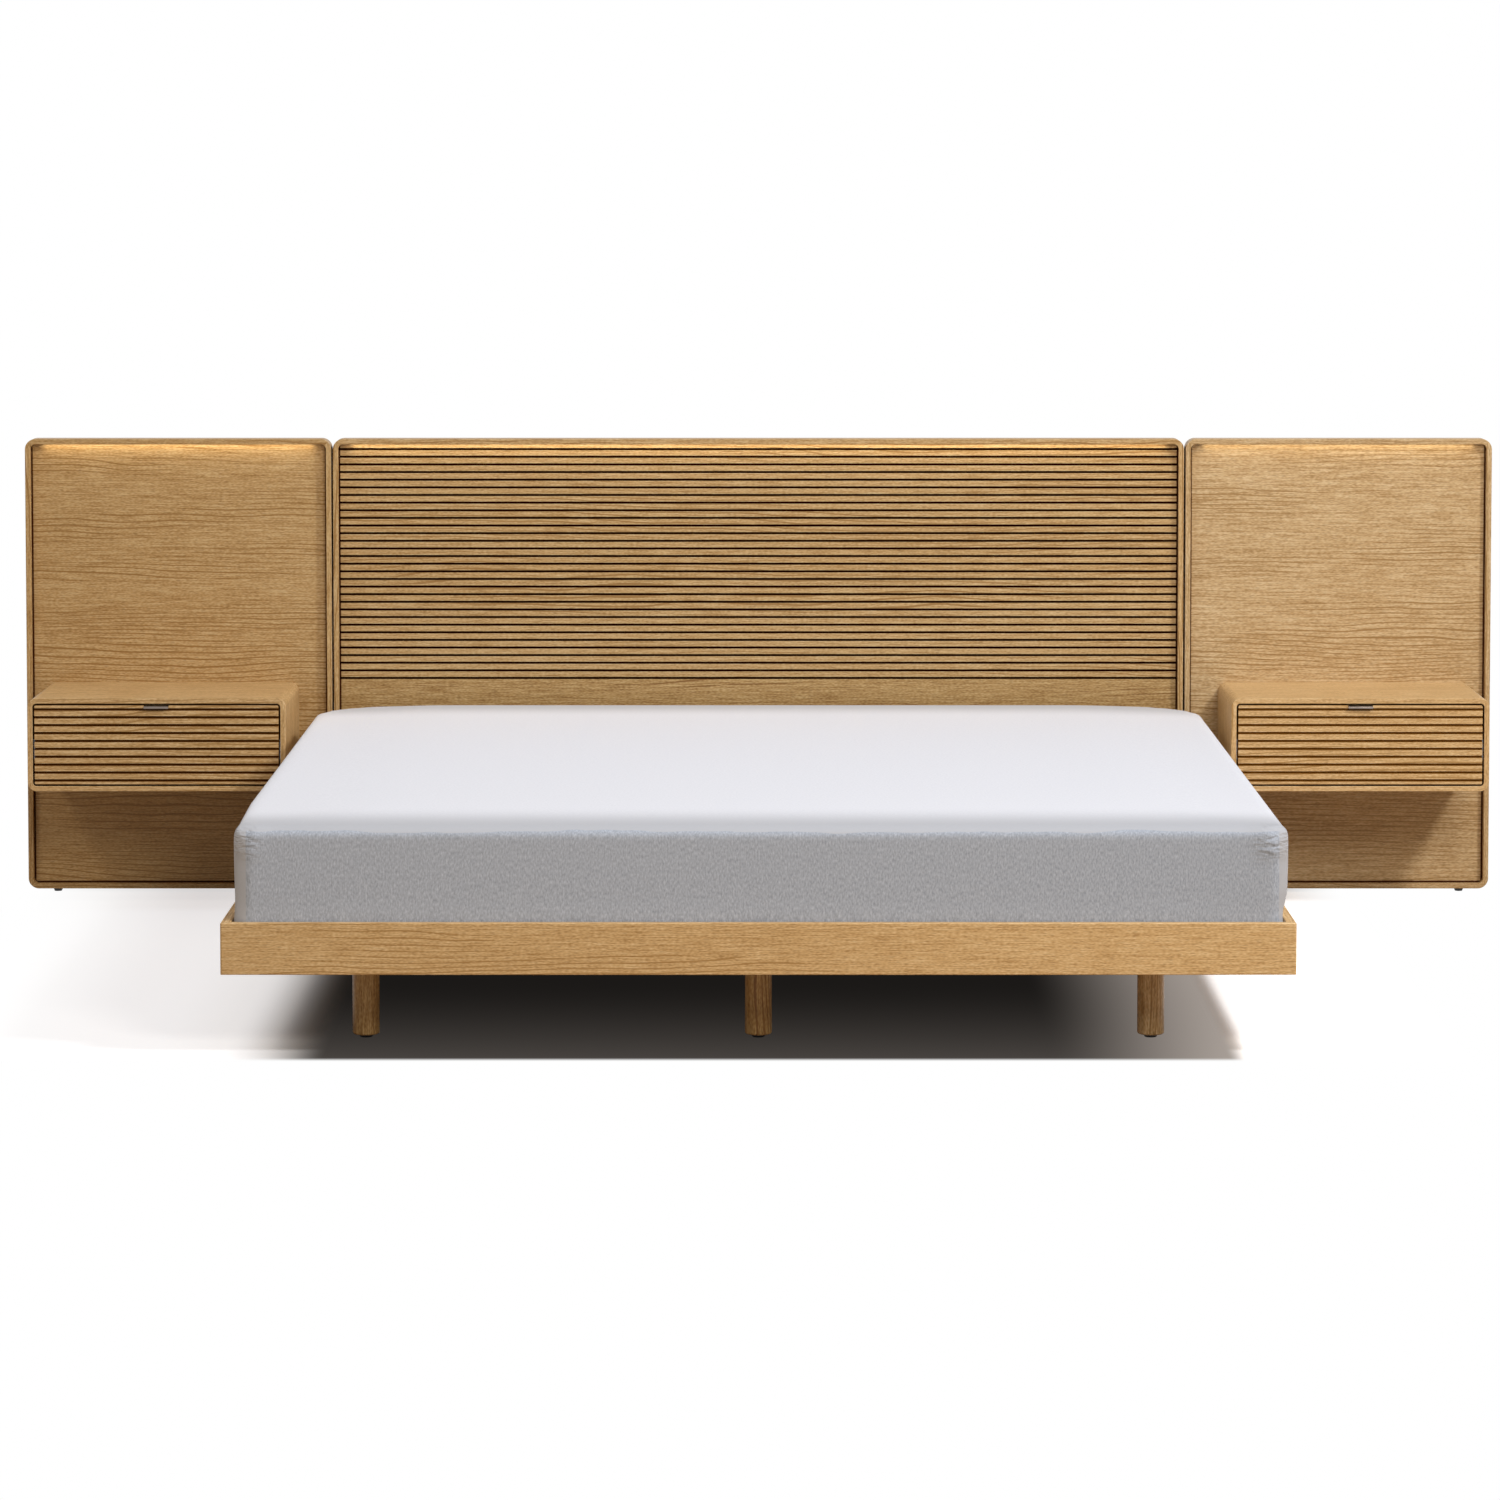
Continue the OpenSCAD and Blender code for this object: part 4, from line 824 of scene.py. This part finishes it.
def make_floor():
    """Matt white painted floor. Where it shows, it keeps the bed's shadow, with painted shade under the
    bed and painted light over the shadow on the left, and runs out to plain white in front, behind and
    to both sides."""
    bpy.ops.object.select_all(action="DESELECT")
    bpy.ops.mesh.primitive_plane_add(size=24, location=(0, 0, 0))
    floor = bpy.context.object
    floor.name = "floor"
    material, tree = new_material("floor_painted_white")
    place = split_place(tree)
    seen = seen_rays(tree)
    tone = add_node(tree, "ShaderNodeMix", {
        0: seen, 6: linear(FLOOR_BOUNCE), 7: (FLOOR_SHOWN, FLOOR_SHOWN, FLOOR_SHOWN, 1.0),
    }, data_type="RGBA")
    # painted shade: under the bed the seen floor shows a dark glow in place of its lit colour
    under = all_of(tree, (
        (place["Y"], *SHADE_BACK), (place["X"], *SHADE_LEFT), (place["X"], *SHADE_RIGHT),
    ))
    # painted light: on the left the seen floor is mixed towards an even pale grey, which lifts the bed's
    # shadow there
    left = all_of(tree, ((place["X"], -0.84, -1.0),))
    left = add_node(tree, "ShaderNodeMath", {0: left, 1: 0.7}, operation="MULTIPLY").outputs[0]
    clear = 0.0
    for axis, start, full in WHITE_FROM:
        clear = add_node(tree, "ShaderNodeMath", {
            0: clear, 1: all_of(tree, ((place[axis], start, full),)),
        }, operation="MAXIMUM").outputs[0]
    # the pale grey of that painted light on the left, and the plain white backdrop
    haze = add_node(tree, "ShaderNodeEmission", {"Color": linear("#F4F2F3"), "Strength": 1.0})
    white = add_node(tree, "ShaderNodeEmission", {"Color": (1, 1, 1, 1), "Strength": 1.0})
    laid = add_node(tree, "ShaderNodeBsdfDiffuse", {"Color": tone.outputs[2]}).outputs[0]
    for share, look in ((left, haze), (under, floor_shade(tree, place)), (clear, white)):
        shown = add_node(tree, "ShaderNodeMath", {0: share, 1: seen}, operation="MULTIPLY")
        laid = add_node(tree, "ShaderNodeMixShader", {
            0: shown.outputs[0], 1: laid, 2: look.outputs[0],
        }).outputs[0]
    # from below nothing hides the bed
    below = add_node(tree, "ShaderNodeNewGeometry").outputs["Backfacing"]
    nothing = add_node(tree, "ShaderNodeBsdfTransparent")
    laid = add_node(tree, "ShaderNodeMixShader", {0: below, 1: laid, 2: nothing.outputs[0]}).outputs[0]
    add_node(tree, "ShaderNodeOutputMaterial", {"Surface": laid})
    floor.data.materials.append(material)


ROOM_LIGHT = 0.28
ROOM_TINT = "#FFF9F2"


def make_world():
    """Even pale surroundings: white where they are seen, softer where they light."""
    world = bpy.data.worlds.new("pale_room")
    bpy.context.scene.world = world
    world.use_nodes = True
    tree = world.node_tree
    tree.nodes.clear()
    seen = seen_rays(tree)
    level = add_node(tree, "ShaderNodeMapRange", {
        "Value": seen, "To Min": ROOM_LIGHT, "To Max": 1.0,
    }).outputs[0]
    tint = add_node(tree, "ShaderNodeMix", {
        0: seen, 6: linear(ROOM_TINT), 7: (1, 1, 1, 1),
    }, data_type="RGBA")
    back = add_node(tree, "ShaderNodeBackground", {"Color": tint.outputs[2], "Strength": level})
    add_node(tree, "ShaderNodeOutputWorld", {"Surface": back.outputs[0]})


# ---------- lamps and camera ----------

def add_lamp(name, place, target, size, level, colour):
    """Soft square lamp; level is what it adds to a surface that faces it at the target."""
    data = bpy.data.lights.new(name, "AREA")
    data.shape = "SQUARE"
    data.size = size
    data.color = linear(colour)[:3]
    reach = (Vector(place) - Vector(target)).length
    data.energy = level * math.pi ** 2 * reach ** 2
    lamp = bpy.data.objects.new(name, data)
    lamp.location = place
    lamp.rotation_euler = (Vector(target) - Vector(place)).to_track_quat("-Z", "Y").to_euler()
    bpy.context.scene.collection.objects.link(lamp)


def make_lights():
    """Two high lamps beside the bed, the right one stronger, a weak cool one over it and a lower
    one past the foot."""
    middle = (0.0, 0.0, 0.4)
    add_lamp("right_soft", (3.9, -2.4, 4.6), middle, 0.8, 0.56, "#FBFCFF")
    add_lamp("left_soft", (-3.9, -2.4, 4.6), middle, 0.8, 0.11, "#FFF4E6")
    add_lamp("top_soft", (0.0, -0.3, 5.2), middle, 1.4, 0.13, "#DCE9FF")
    add_lamp("foot_soft", (1.9, -4.8, 3.3), (0.0, -1.0, 0.3), 1.4, 0.40, "#FFFBF4")


CAMERA_PLACE = (0.0, -10.456, 1.7554)
CAMERA_TILT = 3.5


def make_camera():
    """Low camera in front of the foot, at the photograph's height and distance."""
    data = bpy.data.cameras.new("camera")
    data.sensor_width = 36.0
    data.lens = 120.06
    data.shift_x = -0.0056
    data.shift_y = -0.21
    camera = bpy.data.objects.new("camera", data)
    camera.location = CAMERA_PLACE
    camera.rotation_euler = (math.radians(90 - CAMERA_TILT), 0.0, 0.0)
    bpy.context.scene.collection.objects.link(camera)
    bpy.context.scene.camera = camera


# ---------- finishes of the CAD nodes ----------

def dress(material, *names):
    """Gives a finish to CAD nodes."""
    for name in names:
        slots = NODES[name].material_slots
        for one in slots:
            one.material = material
        if not slots:
            NODES[name].data.materials.append(material)


def dress_headboard():
    """The boards and rims of the three panels; the right one is painted paler than the others, as
    painted light from the right.
    """
    for side, seed, tones in (("left", 1.3, VENEER_TONES), ("right", 2.6, PAINTED_LIGHT_VENEER_TONES)):
        dress(oak_board(
            "oak_board_" + side, seed, tones,
            stain=lambda tree: edge_stain(tree, side + "_board", side + "_rim"),
        ), side + "_board")
    for node, seed, tones in (
        ("lower_board", 3.2, WARM_VENEER_TONES), ("slatted_board", 4.1, VENEER_TONES),
    ):
        dress(oak_ribs("oak_" + node, node, seed, tones, rim="middle_rim"), node)
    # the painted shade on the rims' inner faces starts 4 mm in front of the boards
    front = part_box("left_board")[0].y - 4 * MM
    for node, seed, tones in (
        ("left_rim", 5.1, VENEER_TONES),
        ("middle_rim", 5.9, VENEER_TONES),
        ("right_rim", 6.4, PAINTED_LIGHT_VENEER_TONES),
    ):
        dress(oak_frame("oak_" + node, node, seed, RIM_THICK, front, tones), node)


def dress_nightstands():
    """Cases, drawers and runners; the painted shade in the grooves of the right drawer is lighter, as
    painted light from the right.
    """
    # the tone of the painted shade in each drawer's grooves, lighter on the right as painted light
    for side, case_seed, front_seed, stain_tone in (
        ("left", 8.2, 9.4, "#774716"), ("right", 8.9, 9.9, "#9A6929"),
    ):
        case = side + "_case"
        front = side + "_drawer_front"
        dress(oak_frame("oak_" + case, case, case_seed, CASE_THICK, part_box(front)[0].y), case)
        dress(oak_ribs("oak_" + front, front, front_seed, OAK_TONES, stain_tone=stain_tone), front)
        dress(birch_ply("birch_ply_sides_" + side, "X", "Y"),
              side + "_drawer_outer_side", side + "_drawer_inner_side")
        dress(birch_ply("birch_ply_upright_" + side, "Y", "X"),
              side + "_drawer_back", side + "_case_back")
        dress(birch_ply("birch_ply_bottom_" + side, "Z", "X"), side + "_drawer_bottom")
        dress(zinc_plated("zinc_plated_runner_" + side, drawn=True),
              side + "_case_runners", side + "_middle_runners", side + "_drawer_runners")
        dress(dark_bronze(), side + "_drawer_pull")


def dress_platform():
    """Rails, legs and everything under the mattress; the right legs are painted paler than the others,
    as painted light on the right and painted shade on the left.
    """
    rail_arch = (1300, 120)
    leg_arch = (500, 60)
    dress(oak("oak_foot_rail", along("X"), OAK_TONES, 11.5, arch_mm=rail_arch), "foot_rail")
    dress(oak("oak_side_rails", along("Y"), OAK_TONES, 12.7, arch_mm=rail_arch),
          "left_side_rail", "right_side_rail")
    legs = {name for name in NODES if name.endswith("_leg")}
    right_legs = {name for name in legs if "right" in name}
    # the legs in two copies of one oak: darker as painted shade on the left and in the middle, paler as
    # painted light on the right
    dress(oak("oak_legs_turned", along("Z"), WARM_VENEER_TONES, 13.6, arch_mm=leg_arch),
          *(legs - right_legs))
    dress(oak("oak_legs_painted_light", along("Z"), PAINTED_LIGHT_VENEER_TONES, 14.2, arch_mm=leg_arch), *right_legs)
    dress(pine("pine_cross", "X"), "slats", "front_bearer", "rear_bearer", "head_rail", "bed_spacers")
    dress(pine("pine_long", "Y"), "centre_beam", "side_ledgers")
    dress(pine("pine_battens", "Z"), "rear_battens")


def dress_fittings():
    """Hardware, feet and light strips."""
    dress(zinc_plated("zinc_plated_hardware"), "corner_brackets", "corner_screws", "leg_plates",
          "panel_connectors", "bed_bolts", "case_bolts")
    dress(moulded_nylon(), "leg_glides", "panel_feet", "panel_spacers")
    dress(anodised_channel(), "light_channels")
    dress(lit_diffuser(), "light_diffusers")


bpy.context.scene.view_settings.view_transform = "Standard"
make_camera()
make_world()
make_lights()
make_floor()
dress_headboard()
dress_nightstands()
dress_platform()
dress_fittings()
make_mattress()
